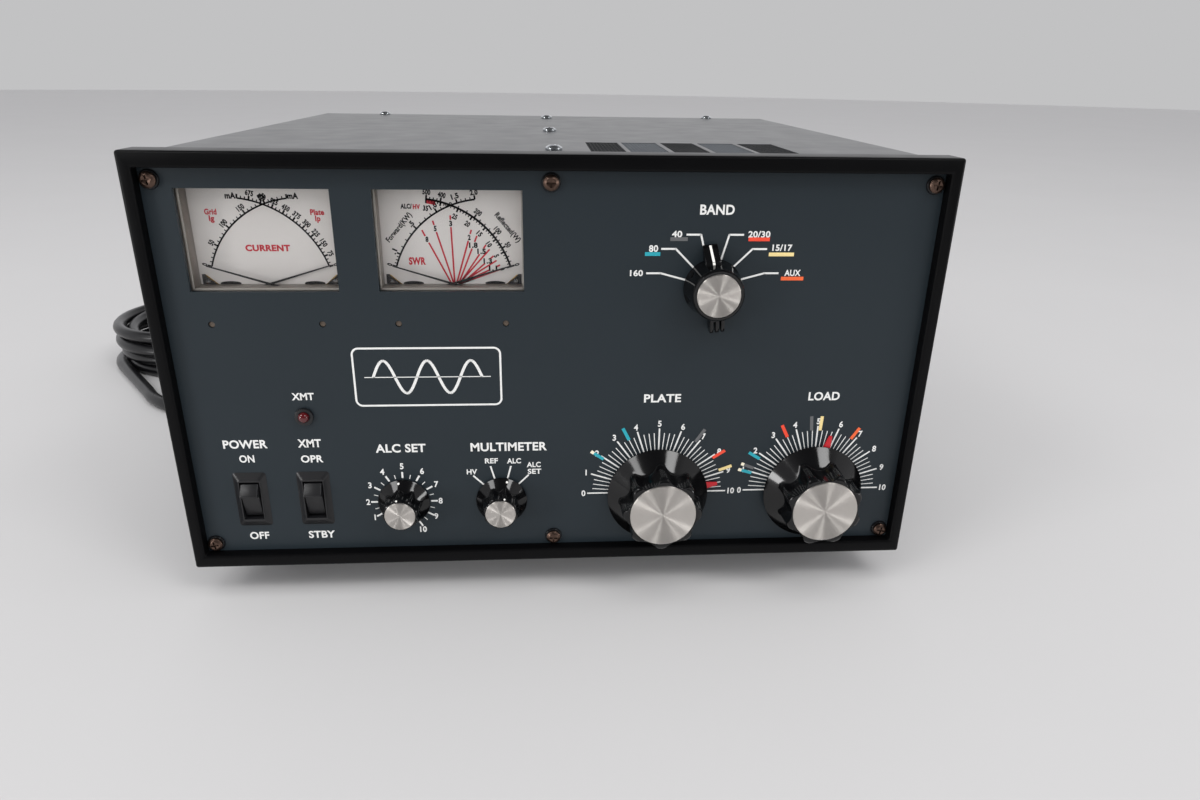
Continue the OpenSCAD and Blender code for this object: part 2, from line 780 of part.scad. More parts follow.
module tuning_drives() color("#c9a24a") {
    for (p = [plate_place, load_place]) difference() {
        rod(p, sub_back, sub_back + drive_l, drive_d / 2);
        rod(p, sub_back - 1, sub_back + drive_l + 1, sleeve_r + run_gap);
    }
}

// Frames and fixed vanes of the two variable capacitors
module tuning_stators() color("#b7bbbf") {
    end_t = 2;
    for (p = [plate_place, load_place]) {
        for (y = [frame_front, frame_front + frame_l - end_t]) difference() {
            block([p[0] - frame_w / 2, y, frame_low], [p[0] + frame_w / 2, y + end_t, frame_high]);
            rod(p, y - 1, y + end_t + 1, shaft_r + run_gap);
        }
        for (sx = [-1, 1]) for (z = [frame_low + 1.5, frame_high - 4])
            rod([p[0] + sx * (frame_w / 2 - 3), z + 1.5], frame_front, frame_front + frame_l, 2);
        for (k = [0 : vanes - 2]) difference() {
            y = frame_front + 7 + k * vane_step + vane_step / 2;
            block([p[0] - frame_w / 2 + 1, y, frame_low + 2], [p[0] + frame_w / 2 - 1, y + vane_t, p[1]]);
            rod(p, y - 1, y + vane_t + 1, 8);
        }
    }
}

module band_switch() color("#c9b58a") {
    difference() {
        rod(band_place, panel_y - 3, sub_back + 6, bush_r);
        rod(band_place, panel_y - 4, sub_back + 7, shaft_r + run_gap);
    }
    facing(band_place, panel_y) difference() {
        cylinder(r = 7.5, h = 2, $fn = 6);
        translate([0, 0, -1]) cylinder(r = bush_r, h = 4);
    }
    difference() {
        rod(band_place, sub_back, sub_back + 4, 24);
        rod(band_place, sub_back - 1, sub_back + 5, bush_r);
    }
    for (y = wafer_y) difference() {
        rod(band_place, y, y + 2.5, 28);
        rod(band_place, y - 1, y + 4, 12);
    }
    for (s = [-1, 1]) rod([band_place[0] + s * 21, band_place[1]], sub_back + 4, wafer_y[2] + 8, 2);
}

module band_rotor() color("#b9bdc0") {
    rod(band_place, band_shaft_front, wafer_y[2] + 6, shaft_r);
    for (y = wafer_y) facing(band_place, y + 2) rotate(-band_setting) linear_extrude(1.5) {
        circle(r = 9);
        translate([0, 5]) square([5, 12], center = true);
    }
}

module band_knob() color("#0d0d0f") {
    bar_w = 6.7;
    body_r = 13.4;
    half = band_bar / 2;
    facing(band_place, panel_y - 1.5) rotate(-band_setting) difference() {
        union() {
            rotate_extrude() polygon([
                [0, 0], [body_r - 0.5, 0], [body_r, 0.6], [body_r - 1.6, band_knob_h - 1.6],
                [body_r - 2.4, band_knob_h - 0.4], [0, band_knob_h - 0.4]
            ]);
            rotate([90, 0, 90]) linear_extrude(bar_w, center = true)
                polygon([[-half, 0], [half, 0], [half, 1.2], [half - 6.5, 8], [8, 9.5], [-8, 9.5],
                         [2 - half, 6], [-half, 4.5]]);
        }
        for (k = [0 : 6]) if (k != 0) rotate(90 + k * 360 / 7)
            translate([body_r + 3.1, 0, 1.5]) cylinder(r = 4.4, h = band_knob_h);
        translate([0, 0, band_knob_h - 0.9]) cylinder(r = band_cap_r + seat_gap, h = 2);
        translate([0, 0, -1]) cylinder(r = 8.4, h = 3.6);
        translate([0, 0, -1]) cylinder(r = shaft_r + seat_gap / 2, h = 11.55);
        for (s = [-1, 1]) translate([s * 1.3 - 0.45, -half - 1, 3]) cube([0.9, 6, 8]);
    }
}

module band_cap() color("#c3c1bd") {
    facing(band_place, panel_y - 1.5) knob_cap(band_cap_r, band_knob_h);
}

// Bodies and bushes of the level control and the meter switch
module panel_controls() color("#9c9a94") {
    for (p = [alc_place, multi_place]) {
        difference() {
            rod(p, panel_y - 2.6, sub_back + 13, bush_r);
            rod(p, panel_y - 4, sub_back + 11, small_shaft_r + run_gap);
        }
        facing(p, panel_y) difference() {
            cylinder(r = 6.6, h = 1.8, $fn = 6);
            translate([0, 0, -1]) cylinder(r = bush_r, h = 4);
        }
        difference() {
            rod(p, sub_back, sub_back + 13, 12);
            rod(p, sub_back - 1, sub_back + 14, bush_r);
        }
    }
}

module small_knob(place, setting) color("#0d0d0f") {
    facing(place, panel_y - 0.6) rotate(-setting) {
        difference() {
            skirted_knob(small_knob_d / 2, 8.7, small_knob_h, small_cap_r, 8, 4.6);
            translate([0, 0, -1]) cylinder(r = bush_r + 0.7, h = 4.2);
        }
        translate([0, 0, -13]) cylinder(r = small_shaft_r, h = 13 + small_knob_h - 4);
    }
}

module small_cap(place) color("#c3c1bd") {
    facing(place, panel_y - 0.6) knob_cap(small_cap_r, small_knob_h);
}

module alc_knob() small_knob(alc_place, alc_setting);
module alc_cap() small_cap(alc_place);
module multimeter_knob() small_knob(multi_place, multi_setting);
module multimeter_cap() small_cap(multi_place);

// --- Rear ------------------------------------------------------------------------------

// Threaded coaxial sockets on square flanges, and three phono sockets
module rear_sockets() color("#c8cacd") {
    for (p = rf_places) difference() {
        union() {
            facing(p, rear_face + 2) linear_extrude(2) square(25.4, center = true);
            rod(p, rear_face + 2, rear_face + 18, 7.9);
            rod(p, rear_inner - 8, rear_face, 5);
        }
        rod(p, rear_face + 15, rear_face + 19, 5.6);
        rod(p, rear_face + 6, rear_face + 16, 1.95);
    }
    for (p = phono_places) difference() {
        union() {
            rod(p, rear_face, rear_face + 1.5, 7);
            rod(p, rear_face + 1.5, rear_face + 9.5, 4.15);
            rod(p, rear_inner - 6, rear_face, 3);
        }
        rod(p, rear_face + 3, rear_face + 10, 1.7);
    }
}

// Fuse caps and the earth stud with its wing nut
module rear_fittings() color("#2a2b2e") {
    for (p = fuse_places) {
        rod(p, rear_face, rear_face + 3, 8.5);
        rod(p, rear_face + 3, rear_face + 13, 7);
        rod(p, rear_inner - 30, rear_face, 6);
    }
    rod(ground_place, rear_inner - 4, case_back + rear_reach, 2.5);
    difference() {
        rod(ground_place, rear_face + 5, rear_face + 12, 5);
        rod(ground_place, rear_face + 4, rear_face + 13, 2.5);
    }
    for (s = [-1, 1])
        translate([ground_place[0] + s * 8.5, rear_face + 11, ground_place[1]])
            cube([9, 8, 2], center = true);
}

// --- Mains lead ----------------------------------------------------------------------------

// Round strain relief that tapers along the lead
module cord_gland() color("#151517") {
    translate([cord_x, rear_face, cord_z]) rotate([-90, 0, 0]) rotate_extrude() polygon([
        [0, -6], [7, -6], [7, 0], [11, 0], [11, 4], [8.2, 6], [8.2, 9], [6, gland_l], [0, gland_l]
    ]);
}

module mains_cord() color("#121214") {
    tube(smooth_route(lead_route, 2), cord_r, 8);
    tube(smooth_route(tail_route, 1), cord_r, 8);
}

// Radius and height of the coil after u turns: in and out by one pitch a turn, and up one
// pitch in the half turn round each reversal
function coil_radius(u) =
    let (v = u / layer_turns, k = floor(v), f = v - k)
    coil_r - turn_pitch * layer_turns * (k % 2 == 0 ? f : 1 - f);
function climb(u, k) = min(max((u - k * layer_turns) * 2 + 0.5, 0), 1);
function coil_height(u) =
    cord_r + turn_pitch * (climb(u, 1) + climb(u, 2) + climb(u, 3));
function coil_point(u) =
    let (a = coil_start - 360 * u, r = coil_radius(u))
    [coil_middle[0] + r * cos(a), coil_middle[1] + r * sin(a), coil_height(u)];

coil_steps = round(coil_turns * rings_per_turn);
coil_run = [for (i = [0 : coil_steps]) coil_point(i * coil_turns / coil_steps)];
coil_path = concat(
    [coil_run[0] + straight_end * [0.6, -0.8, 0]], coil_run,
    [coil_run[coil_steps] + [straight_end, 0, 0]]
);
half_turn = rings_per_turn / 2;
coil_least = min([
    for (i = [0 : coil_steps - half_turn]) for (j = [i + half_turn : coil_steps])
        norm(coil_run[i] - coil_run[j])
]);
echo(str("least gap of the coil to itself, mm: ", coil_least - cord_d));

module cord_coil() color("#121214") {
    tube(coil_path, cord_r, 6);
}

// Moulded plug with two blades and an earth pin
module mains_plug() color("#141416") {
    start = tail_route[len(tail_route) - 1];
    translate(start) {
        rotate([0, 90, 0]) rotate_extrude() polygon([
            [0, 0], [6, 0], [8, 18], [13, 22], [15, 26], [15, 46], [14, 48], [0, 48]
        ]);
        for (s = [-1, 1]) translate([48, s * 6.35 - 0.75, -4.2]) cube([17.5, 1.5, 6.3]);
        translate([48, 0, 8]) rotate([0, 90, 0]) cylinder(r = 2.4, h = 20);
    }
}

chassis_pan();
sub_panel();
front_panel();
front_bezel();
top_cover();
vent_screen();
rear_panel();
rubber_feet();
cover_screws();
panel_screws();
cup_washers();
rf_shield();
transformer_core();
transformer_winding();
filter_capacitors();
circuit_boards();
tube_socket();
tube_glass();
tube_anode();
tank_coils();
fan_housing();
fan_rotor();
meter_cases();
meter_dials();
meter_windows();
grid_needle();
plate_needle();
forward_needle();
reflected_needle();
switch_bodies();
power_rocker();
standby_rocker();
lamp_holder();
lamp_lens();
band_switch();
band_rotor();
band_knob();
band_cap();
tuning_drives();
tuning_stators();
plate_rotor();
plate_pointer();
plate_knob();
plate_cap();
load_rotor();
load_pointer();
load_knob();
load_cap();
panel_controls();
alc_knob();
alc_cap();
multimeter_knob();
multimeter_cap();
rear_sockets();
rear_fittings();
cord_gland();
mains_cord();
cord_coil();
mains_plug();
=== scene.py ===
"""Looks of a table-top linear amplifier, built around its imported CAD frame.

Sizes are in millimetres in the frame of the CAD: +X right, +Y back, +Z up, floor at Z 0.
"""

import json
import logging
import math
from dataclasses import dataclass, field
from enum import Enum

import bmesh
import bpy
from mathutils import Matrix, Vector
from mathutils.bvhtree import BVHTree

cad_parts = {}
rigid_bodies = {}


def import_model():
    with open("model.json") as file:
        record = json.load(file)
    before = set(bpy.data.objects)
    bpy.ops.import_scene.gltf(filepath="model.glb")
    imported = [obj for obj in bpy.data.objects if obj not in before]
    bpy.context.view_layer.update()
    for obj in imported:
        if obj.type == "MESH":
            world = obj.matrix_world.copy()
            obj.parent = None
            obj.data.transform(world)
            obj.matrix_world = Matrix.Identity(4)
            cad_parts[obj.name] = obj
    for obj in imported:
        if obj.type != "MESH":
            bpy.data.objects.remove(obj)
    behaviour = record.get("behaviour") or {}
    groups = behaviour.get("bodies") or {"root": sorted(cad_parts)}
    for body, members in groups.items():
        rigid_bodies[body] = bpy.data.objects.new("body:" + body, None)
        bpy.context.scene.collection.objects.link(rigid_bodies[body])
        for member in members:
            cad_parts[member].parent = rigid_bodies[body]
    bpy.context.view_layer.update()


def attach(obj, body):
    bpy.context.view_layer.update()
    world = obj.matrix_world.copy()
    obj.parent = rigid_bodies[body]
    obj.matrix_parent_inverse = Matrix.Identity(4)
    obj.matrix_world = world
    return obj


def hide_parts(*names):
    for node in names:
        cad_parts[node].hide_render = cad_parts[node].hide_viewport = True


LOG = logging.getLogger("amplifier")
MM = 0.001
Pair = tuple[float, float]
Triple = tuple[float, float, float]
Tree = bpy.types.NodeTree
Socket = bpy.types.NodeSocket

# Depths of the front's faces, and how far print and tape stand off the paint
BEZEL_Y = -171.5
PANEL_Y = -166.0
COVER_Y = -155.5
PRINT_GAP = 0.06
TAPE_GAP = 0.12

PLATE_PLACE = (50.1, 52.8)
LOAD_PLACE = (128.9, 53.0)
BAND_PLACE = (71.0, 158.0)
ALC_PLACE = (-75.0, 50.2)
MULTI_PLACE = (-27.3, 50.2)
METER_X = (-127.8, -46.3)
TRIMMERS = ((-153.0, 141.1), (-104.7, 141.1), (-71.0, 141.1), (-22.8, 141.1))


class Body(Enum):
    """The bodies of the frame that the pieces made here ride on."""

    CABINET = "cabinet"
    BAND = "band_control"
    PLATE_TUNING = "plate_tuning"
    PLATE = "plate_control"
    LOAD_TUNING = "load_tuning"
    LOAD = "load_control"
    ALC = "alc_control"
    MULTIMETER = "multimeter_control"
    POWER = "power_switch"
    STANDBY = "standby_switch"


class Pattern(Enum):
    """How a surface was made, which gives its fine relief."""

    MOULDED = "noise"
    SPRAYED = "orange peel"
    WRINKLED = "cells"
    ROLLED = "stretched"


# --- Materials ---------------------------------------------------------------


def linear(code: str) -> tuple[float, float, float, float]:
    """Turns an sRGB hex value such as #1f9aa8 into a linear colour."""
    parts = [int(code[i : i + 2], 16) / 255 for i in (1, 3, 5)]
    flat = [p / 12.92 if p <= 0.04045 else ((p + 0.055) / 1.055) ** 2.4 for p in parts]
    return (flat[0], flat[1], flat[2], 1.0)


def add(tree: Tree, kind: str, inputs: dict | None = None, **settings) -> bpy.types.Node:
    """Adds a node.

    Args:
        tree: the material's node tree.
        kind: the node's type, without the ShaderNode in front.
        inputs: socket name or number to a value, or to the output that feeds it.
        settings: the node's own settings.

    Returns:
        The node.
    """
    made = tree.nodes.new("ShaderNode" + kind)
    for name, value in settings.items():
        setattr(made, name, value)
    for name, value in (inputs or {}).items():
        if isinstance(value, Socket):
            tree.links.new(value, made.inputs[name])
        else:
            made.inputs[name].default_value = value
    return made


def ramp(tree: Tree, value: Socket, start: float, end: float, low: float, high: float) -> Socket:
    """Goes from `low` to `high` while a value goes from `start` to `end`, and no further."""
    return add(tree, "MapRange", {0: value, 1: start, 2: end, 3: low, 4: high}).outputs[0]


@dataclass(frozen=True)
class Finish:
    """A painted, moulded or metal surface.

    Attributes:
        name: the material's name.
        slot: the record's material slot; not used.
        colour: its colour.
        roughness: its mean roughness.
        drift: share by which the colour drifts over patches of `drift_mm`.
        uneven: how far the roughness strays to either side.
        grain_mm: size of the relief's grains.
        grain_depth: height of the relief, in mm.
    """

    name: str
    slot: str
    colour: str
    roughness: float
    metallic: float = 0.0
    ior: float = 1.5
    coat: float = 0.0
    drift: float = 0.08
    drift_mm: float = 45.0
    uneven: float = 0.06
    grain_mm: float = 0.8
    grain_depth: float = 0.01
    pattern: Pattern = Pattern.MOULDED
    dust: float = 0.0

    def material(self) -> bpy.types.Material:
        """The material, made once."""
        known = bpy.data.materials.get(self.name)
        if known:
            return known
        made = bpy.data.materials.new(self.name)
        made.use_nodes = True
        tree = made.node_tree
        tree.nodes.clear()
        made.diffuse_color = linear(self.colour)
        surface = self.principled(tree)
        add(tree, "OutputMaterial", {"Surface": self.surface(tree, surface)})
        return made

    def surface(self, tree: Tree, principled: bpy.types.Node) -> Socket:
        """The shader that goes to the output."""
        return principled.outputs["BSDF"]

    def place(self, tree: Tree) -> Socket:
        """Where a pattern is read from."""
        return add(tree, "TexCoord").outputs["Object"]

    def noise(self, tree: Tree, at: Socket, size_mm: float, detail: float = 3) -> Socket:
        """Soft noise from 0 to 1 with grains of a real size."""
        scale = 1 / (size_mm * MM)
        return add(tree, "TexNoise", {"Vector": at, "Scale": scale, "Detail": detail}).outputs[0]

    def shade(self, tree: Tree, at: Socket) -> Socket:
        """The colour, drifting a little from place to place."""
        base = linear(self.colour)
        dark = tuple(c * (1 - self.drift) for c in base[:3]) + (1.0,)
        pale = tuple(min(1.0, c * (1 + self.drift)) for c in base[:3]) + (1.0,)
        patches = self.noise(tree, at, self.drift_mm)
        mixed = add(tree, "Mix", {0: patches, 6: dark, 7: pale}, data_type="RGBA").outputs[2]
        if not self.dust:
            return mixed
        specks = ramp(tree, self.noise(tree, at, 6.0, 8), 0.55, 0.8, 0.0, self.dust)
        return add(tree, "Mix", {0: specks, 6: mixed, 7: linear("#8f8b85")}, data_type="RGBA").outputs[2]

    def relief(self, tree: Tree, at: Socket) -> Socket | None:
        """The height of the surface's grain, from 0 to 1."""
        scale = 1 / (self.grain_mm * MM)
        if self.pattern is Pattern.WRINKLED:
            return add(
                tree, "TexVoronoi", {"Vector": at, "Scale": scale}, feature="SMOOTH_F1"
            ).outputs["Distance"]
        if self.pattern is Pattern.ROLLED:
            stretched = add(
                tree, "Mapping", {"Vector": at, "Scale": (scale, scale * 0.04, scale)}
            ).outputs[0]
            return add(tree, "TexNoise", {"Vector": stretched, "Scale": 1.0, "Detail": 2}).outputs[0]
        return self.noise(tree, at, self.grain_mm, 1 if self.pattern is Pattern.SPRAYED else 4)

    def principled(self, tree: Tree) -> bpy.types.Node:
        """The Principled shader with its colour, roughness and relief."""
        at = self.place(tree)
        smooth, coarse = max(0.02, self.roughness - self.uneven), min(1.0, self.roughness + self.uneven)
        rough = ramp(tree, self.noise(tree, at, self.drift_mm * 0.4, 5), 0.0, 1.0, smooth, coarse)
        inputs = {
            "Base Color": self.shade(tree, at),
            "Roughness": rough,
            "Metallic": self.metallic,
            "Coat Weight": self.coat,
        }
        if not self.metallic:
            inputs["IOR"] = self.ior
        if self.grain_depth:
            inputs["Normal"] = add(
                tree,
                "Bump",
                {"Height": self.relief(tree, at), "Distance": self.grain_depth * MM, "Strength": 1.0},
            ).outputs[0]
        return add(tree, "BsdfPrincipled", inputs)


@dataclass(frozen=True)
class SpunAluminium(Finish):
    """Aluminium turned on a lathe: its rings spread each light into two bright sectors."""

    centre: Pair = (0.0, 0.0)

    def principled(self, tree: Tree) -> bpy.types.Node:
        """The shader, with its shine drawn out across the rings, away from the centre."""
        made = super().principled(tree)
        at = self.place(tree)
        middle = (self.centre[0] * MM, 0.0, self.centre[1] * MM)
        arm = add(tree, "VectorMath", {0: at, 1: middle}, operation="SUBTRACT").outputs[0]
        flat = add(tree, "VectorMath", {0: arm, 1: (1, 0, 1)}, operation="MULTIPLY").outputs[0]
        outward = add(tree, "VectorMath", {0: flat}, operation="NORMALIZE").outputs[0]
        world = add(tree, "VectorTransform", {0: outward}, convert_from="OBJECT", convert_to="WORLD")
        tree.links.new(world.outputs[0], made.inputs["Tangent"])
        made.inputs["Anisotropic"].default_value = 1.0
        return made

    def relief(self, tree: Tree, at: Socket) -> Socket:
        """Turning marks: rings round the centre."""
        middle = (self.centre[0] * MM, 0.0, self.centre[1] * MM)
        arm = add(tree, "VectorMath", {0: at, 1: middle}, operation="SUBTRACT").outputs[0]
        flat = add(tree, "VectorMath", {0: arm, 1: (1, 0, 1)}, operation="MULTIPLY").outputs[0]
        reach = add(tree, "VectorMath", {0: flat}, operation="LENGTH").outputs["Value"]
        wide = add(tree, "Math", {0: reach, 1: 1 / (self.grain_mm * MM)}, operation="MULTIPLY").outputs[0]
        return add(tree, "TexNoise", {"W": wide, "Scale": 1.0, "Detail": 3}, noise_dimensions="1D").outputs[0]


@dataclass(frozen=True)
class ClearPane(Finish):
    """Clear acrylic sheet: it mirrors by its angle and lets the rest of the light past."""

    def surface(self, tree: Tree, principled: bpy.types.Node) -> Socket:
        """A mirror that is as strong as the sheet's own reflection, over nothing."""
        share = add(tree, "Fresnel", {"IOR": self.ior}).outputs[0]
        tree.links.new(share, principled.inputs["Alpha"])
        return principled.outputs["BSDF"]


@dataclass(frozen=True)
class Glass(Finish):
    """Blown glass, as on a power tube."""

    def surface(self, tree: Tree, principled: bpy.types.Node) -> Socket:
        """Clear glass that lets light through."""
        principled.inputs["Transmission Weight"].default_value = 1.0
        return principled.outputs["BSDF"]


@dataclass(frozen=True)
class Banded(Finish):
    """A surface of fine repeated bands: stacked sheets, or turns of wire."""

    band_mm: float = 1.0
    axis: int = 2
    gap_colour: str = "#201a14"

    def relief(self, tree: Tree, at: Socket) -> Socket:
        """Rounded bands of a real width along one axis."""
        part = add(tree, "SeparateXYZ", {0: at}).outputs[self.axis]
        turn = 2 * math.pi / (self.band_mm * MM)
        angle = add(tree, "Math", {0: part, 1: turn}, operation="MULTIPLY").outputs[0]
        wave = add(tree, "Math", {0: angle}, operation="SINE").outputs[0]
        return ramp(tree, wave, -1.0, 0.4, 0.0, 1.0)

    def shade(self, tree: Tree, at: Socket) -> Socket:
        """The colour, with dark gaps between the bands."""
        plain = super().shade(tree, at)
        return add(
            tree, "Mix", {0: self.relief(tree, at), 6: linear(self.gap_colour), 7: plain}, data_type="RGBA"
        ).outputs[2]


# Sprayed and baked enamel on steel: an even blue-grey satin with a faint orange peel
PANEL_ENAMEL = Finish(
    "satin_enamel_blue_grey", "panel_paint", "#20282d", 0.42, ior=1.36, drift=0.05, drift_mm=60,
    grain_mm=0.9, grain_depth=0.004, pattern=Pattern.SPRAYED,
)
# Moulded ABS: near-black, half matt from its spark-eroded mould
BEZEL_ABS = Finish(
    "moulded_abs_black", "bezel_plastic", "#070708", 0.36, ior=1.2, grain_mm=0.7, grain_depth=0.012
)
# Textured powder coat: dark, with a fine pebbled grain that turns pale at a low angle
COVER_POWDER = Finish(
    "powder_coat_black", "cover_paint", "#2e2f31", 0.34, ior=1.55, drift=0.05, grain_mm=0.9,
    grain_depth=0.006, pattern=Pattern.WRINKLED, dust=0.06,
)
REAR_POWDER = Finish(
    "powder_coat_rear", "rear_paint", "#2d2e31", 0.45, grain_mm=0.9, grain_depth=0.014,
    pattern=Pattern.WRINKLED,
)
# Zinc-plated sheet steel: pale grey, with the rolling's faint streaks
ZINC_STEEL = Finish(
    "zinc_plated_steel", "zinc_steel", "#b4b6b8", 0.34, metallic=1, grain_mm=1.2,
    grain_depth=0.004, pattern=Pattern.ROLLED,
)
FOOT_RUBBER = Finish("rubber_black", "foot_rubber", "#1b1b1c", 0.75, grain_mm=0.5, grain_depth=0.02)
# Bright zinc on turned screws: a crisp mirror on the slots' edges
SCREW_ZINC = Finish("zinc_plated_screw", "screw_zinc", "#cfd3d6", 0.22, metallic=1, grain_depth=0.003)
# Bronze-coloured plating, worn dull: brown with a warm glint
SCREW_BRONZE = Finish(
    "bronze_plated_screw", "screw_bronze", "#5f4d44", 0.36, metallic=1, grain_mm=0.5, grain_depth=0.01
)
WASHER_BLACK = Finish("black_oxide_washer", "washer_black", "#141416", 0.3, metallic=0.4, grain_depth=0.004)
ALUMINIUM = Finish(
    "mill_aluminium", "aluminium", "#c2c4c6", 0.32, metallic=1, grain_mm=1.0, grain_depth=0.003,
    pattern=Pattern.ROLLED,
)
# Varnished transformer iron: stacked sheets half a millimetre thick, drawn at 1 mm to show
CORE_IRON = Banded(
    "laminated_iron", "core_steel", "#4d4640", 0.45, metallic=0.8, grain_depth=0.12, band_mm=1.0, axis=1
)
# Lacquered winding wire in layers: amber bands under paper tape
WINDING_WIRE = Banded(
    "lacquered_winding", "winding", "#9c6a2e", 0.35, grain_depth=0.25, band_mm=1.2, axis=0,
    gap_colour="#3b230d",
)
CAPACITOR_SLEEVE = Finish("heat_shrink_blue", "capacitor", "#223c66", 0.3, grain_mm=1.5, grain_depth=0.006)
BOARD_RESIN = Finish(
    "glass_resin_board", "circuit_board", "#2c5c3c", 0.38, drift=0.15, grain_mm=0.4, grain_depth=0.01
)
CERAMIC = Finish("glazed_ceramic", "ceramic", "#d9d3c4", 0.18, grain_mm=3, grain_depth=0.01)
TUBE_GLASS = Glass(
    "blown_glass", "tube_glass", "#f4f7f8", 0.03, ior=1.48, drift=0.01, uneven=0.01, grain_depth=0
)
GRAPHITE = Finish("graphite_anode", "graphite", "#5a5c5e", 0.55, metallic=0.6, grain_mm=0.6, grain_depth=0.02)
COPPER = Finish("bare_copper", "copper", "#c07a4a", 0.28, metallic=1, drift=0.15, grain_depth=0.004)
FAN_PLASTIC = Finish("glass_filled_nylon", "fan_black", "#1d1e20", 0.5, grain_mm=0.6, grain_depth=0.015)
METER_CASE = Finish("meter_case_styrene", "meter_black", "#2a2a2c", 0.3, grain_depth=0.004)
# Printed aluminium scale plate: off-white matt ink
METER_FACE = Finish(
    "scale_plate_white", "meter_face", "#e3dfda", 0.5, drift=0.02, drift_mm=30, grain_depth=0.002
)
# Clear window: a faint mirror that deepens at a low angle
METER_PANE = ClearPane(
    "acrylic_pane", "meter_clear", "#ffffff", 0.04, metallic=1, ior=1.22, drift=0.0, uneven=0.01,
    grain_depth=0,
)
# Edge of the moulded window: a pale colour painted on as the light that gathers in its clear edge, a painted
# highlight
PANE_EDGE_HIGHLIGHT = Finish("acrylic_edge", "meter_clear", "#b9b4ab", 0.25, drift=0.1, grain_depth=0.004)
# Side walls of the same clear moulding, seen at a low angle: a brownish grey with darker streaks, a painted
# reflection standing in for what the clear walls mirror
PANE_WALL_REFLECTION = Finish("acrylic_wall", "meter_clear", "#8a8178", 0.3, drift=0.25, drift_mm=6, grain_depth=0.004)
# Black lacquer of the needles; the same black is painted as shade in the scale plates' slot openings
NEEDLE_BLACK_AND_SLOT_SHADE = Finish("needle_lacquer", "needle_black", "#0c0c0e", 0.3, grain_depth=0.002)
# Moulded nylon of the rockers: matt black with a soft sheen along each edge
SWITCH_NYLON = Finish("rocker_nylon", "switch_black", "#131315", 0.38, grain_mm=0.5, grain_depth=0.012)
LAMP_RED = Finish("lens_polystyrene_red", "lamp_red", "#4e0b10", 0.12, coat=0.6, grain_depth=0.002)
# Polished phenolic: deep black with hard window-like highlights
PHENOLIC = Finish(
    "phenolic_black", "knob_black", "#080809", 0.1, ior=1.45, drift=0.1, uneven=0.03, grain_mm=4,
    grain_depth=0.004,
)
POINTER_RED = Finish("painted_pointer_red", "pointer_red", "#b31420", 0.35, grain_depth=0.004)
BRASS = Finish("turned_brass", "brass", "#c8a254", 0.26, metallic=1, grain_mm=0.6, grain_depth=0.004)
NICKEL = Finish("nickel_plate", "nickel", "#c9c6bf", 0.2, metallic=1, grain_mm=1.0, grain_depth=0.003)
# Soft PVC jacket: black, shiny along the top of each turn
CORD_PVC = Finish("pvc_jacket_black", "cord_black", "#0e0e10", 0.3, grain_mm=1.2, grain_depth=0.02)


def printed_ink(name: str, slot: str, colour: str, ior: float = 1.5) -> Finish:
    """Screen-printed ink: a thin matt film."""
    return Finish("screen_ink_" + name, slot, colour, 0.5, ior=ior, drift=0.04, drift_mm=4, grain_depth=0.002)


def vinyl_tape(name: str, colour: str, roughness: float = 0.35) -> Finish:
    """Vinyl tape on the panel: a flat colour with a slight sheen."""
    return Finish("vinyl_tape_" + name, "panel_paint", colour, roughness, drift_mm=5, grain_depth=0.01)


INK_WHITE = printed_ink("white", "panel_paint", "#dcdcd9")
INK_BLACK = printed_ink("black", "meter_face", "#0a0a0c", ior=1.25)
INK_RED = printed_ink("red", "meter_face", "#c8142c")
TAPE_TEAL = vinyl_tape("teal", "#1f9aa8")
TAPE_RED = vinyl_tape("red", "#e2452b")
TAPE_ORANGE = vinyl_tape("orange", "#e8622f")
TAPE_CREAM = vinyl_tape("cream", "#e6cf8f", 0.4)
TAPE_PALE = vinyl_tape("pale", "#efe6cc", 0.4)
TAPE_GREY = vinyl_tape("grey", "#5c5d5e", 0.4)
KNOB_DOT = Finish("paint_dot_white", "knob_cap", "#e6e4dd", 0.5, drift_mm=4, grain_depth=0.002)
# Dark vent finish: the mesh's own dark colour, and on its backing sheet painted shade of the case's inside
VENT_DARK_AND_SHADE = Finish("perforated_steel_dark", "cover_paint", "#1e2022", 0.6, ior=1.3, grain_depth=0.004)
VENT_PALE = Finish("perforated_steel_grey", "cover_paint", "#5c6064", 0.6, ior=1.3, grain_depth=0.004)
# Sheet laminate of the trimmers: brown, matt
TRIMMER_BROWN = Finish("trimmer_laminate", "circuit_board", "#5d5044", 0.5, drift_mm=4, grain_depth=0.004)


def spun_cap(name: str, centre: Pair) -> SpunAluminium:
    """The finish of a knob's cap, turned round its own centre."""
    return SpunAluminium(
        "spun_aluminium_" + name, "knob_cap", "#dcd7d1", 0.44, metallic=1, drift=0.03, uneven=0.03,
        grain_mm=0.5, grain_depth=0.003, centre=centre,
    )


# --- Shapes ------------------------------------------------------------------


def front_frame(place: Pair, y: float, turn: float = 0.0) -> Matrix:
    """Frame of a thing on the front.

    Args:
        place: its X and Z.
        y: depth of its foot.
        turn: degrees clockwise as the viewer sees it.

    Returns:
        The matrix from its own axes, +x right, +y up and +z to the viewer, to the row frame.
    """
    axes = Matrix(((1, 0, 0, place[0]), (0, 0, -1, y), (0, 1, 0, place[1]), (0, 0, 0, 1)))
    return axes @ Matrix.Rotation(-math.radians(turn), 4, "Z")


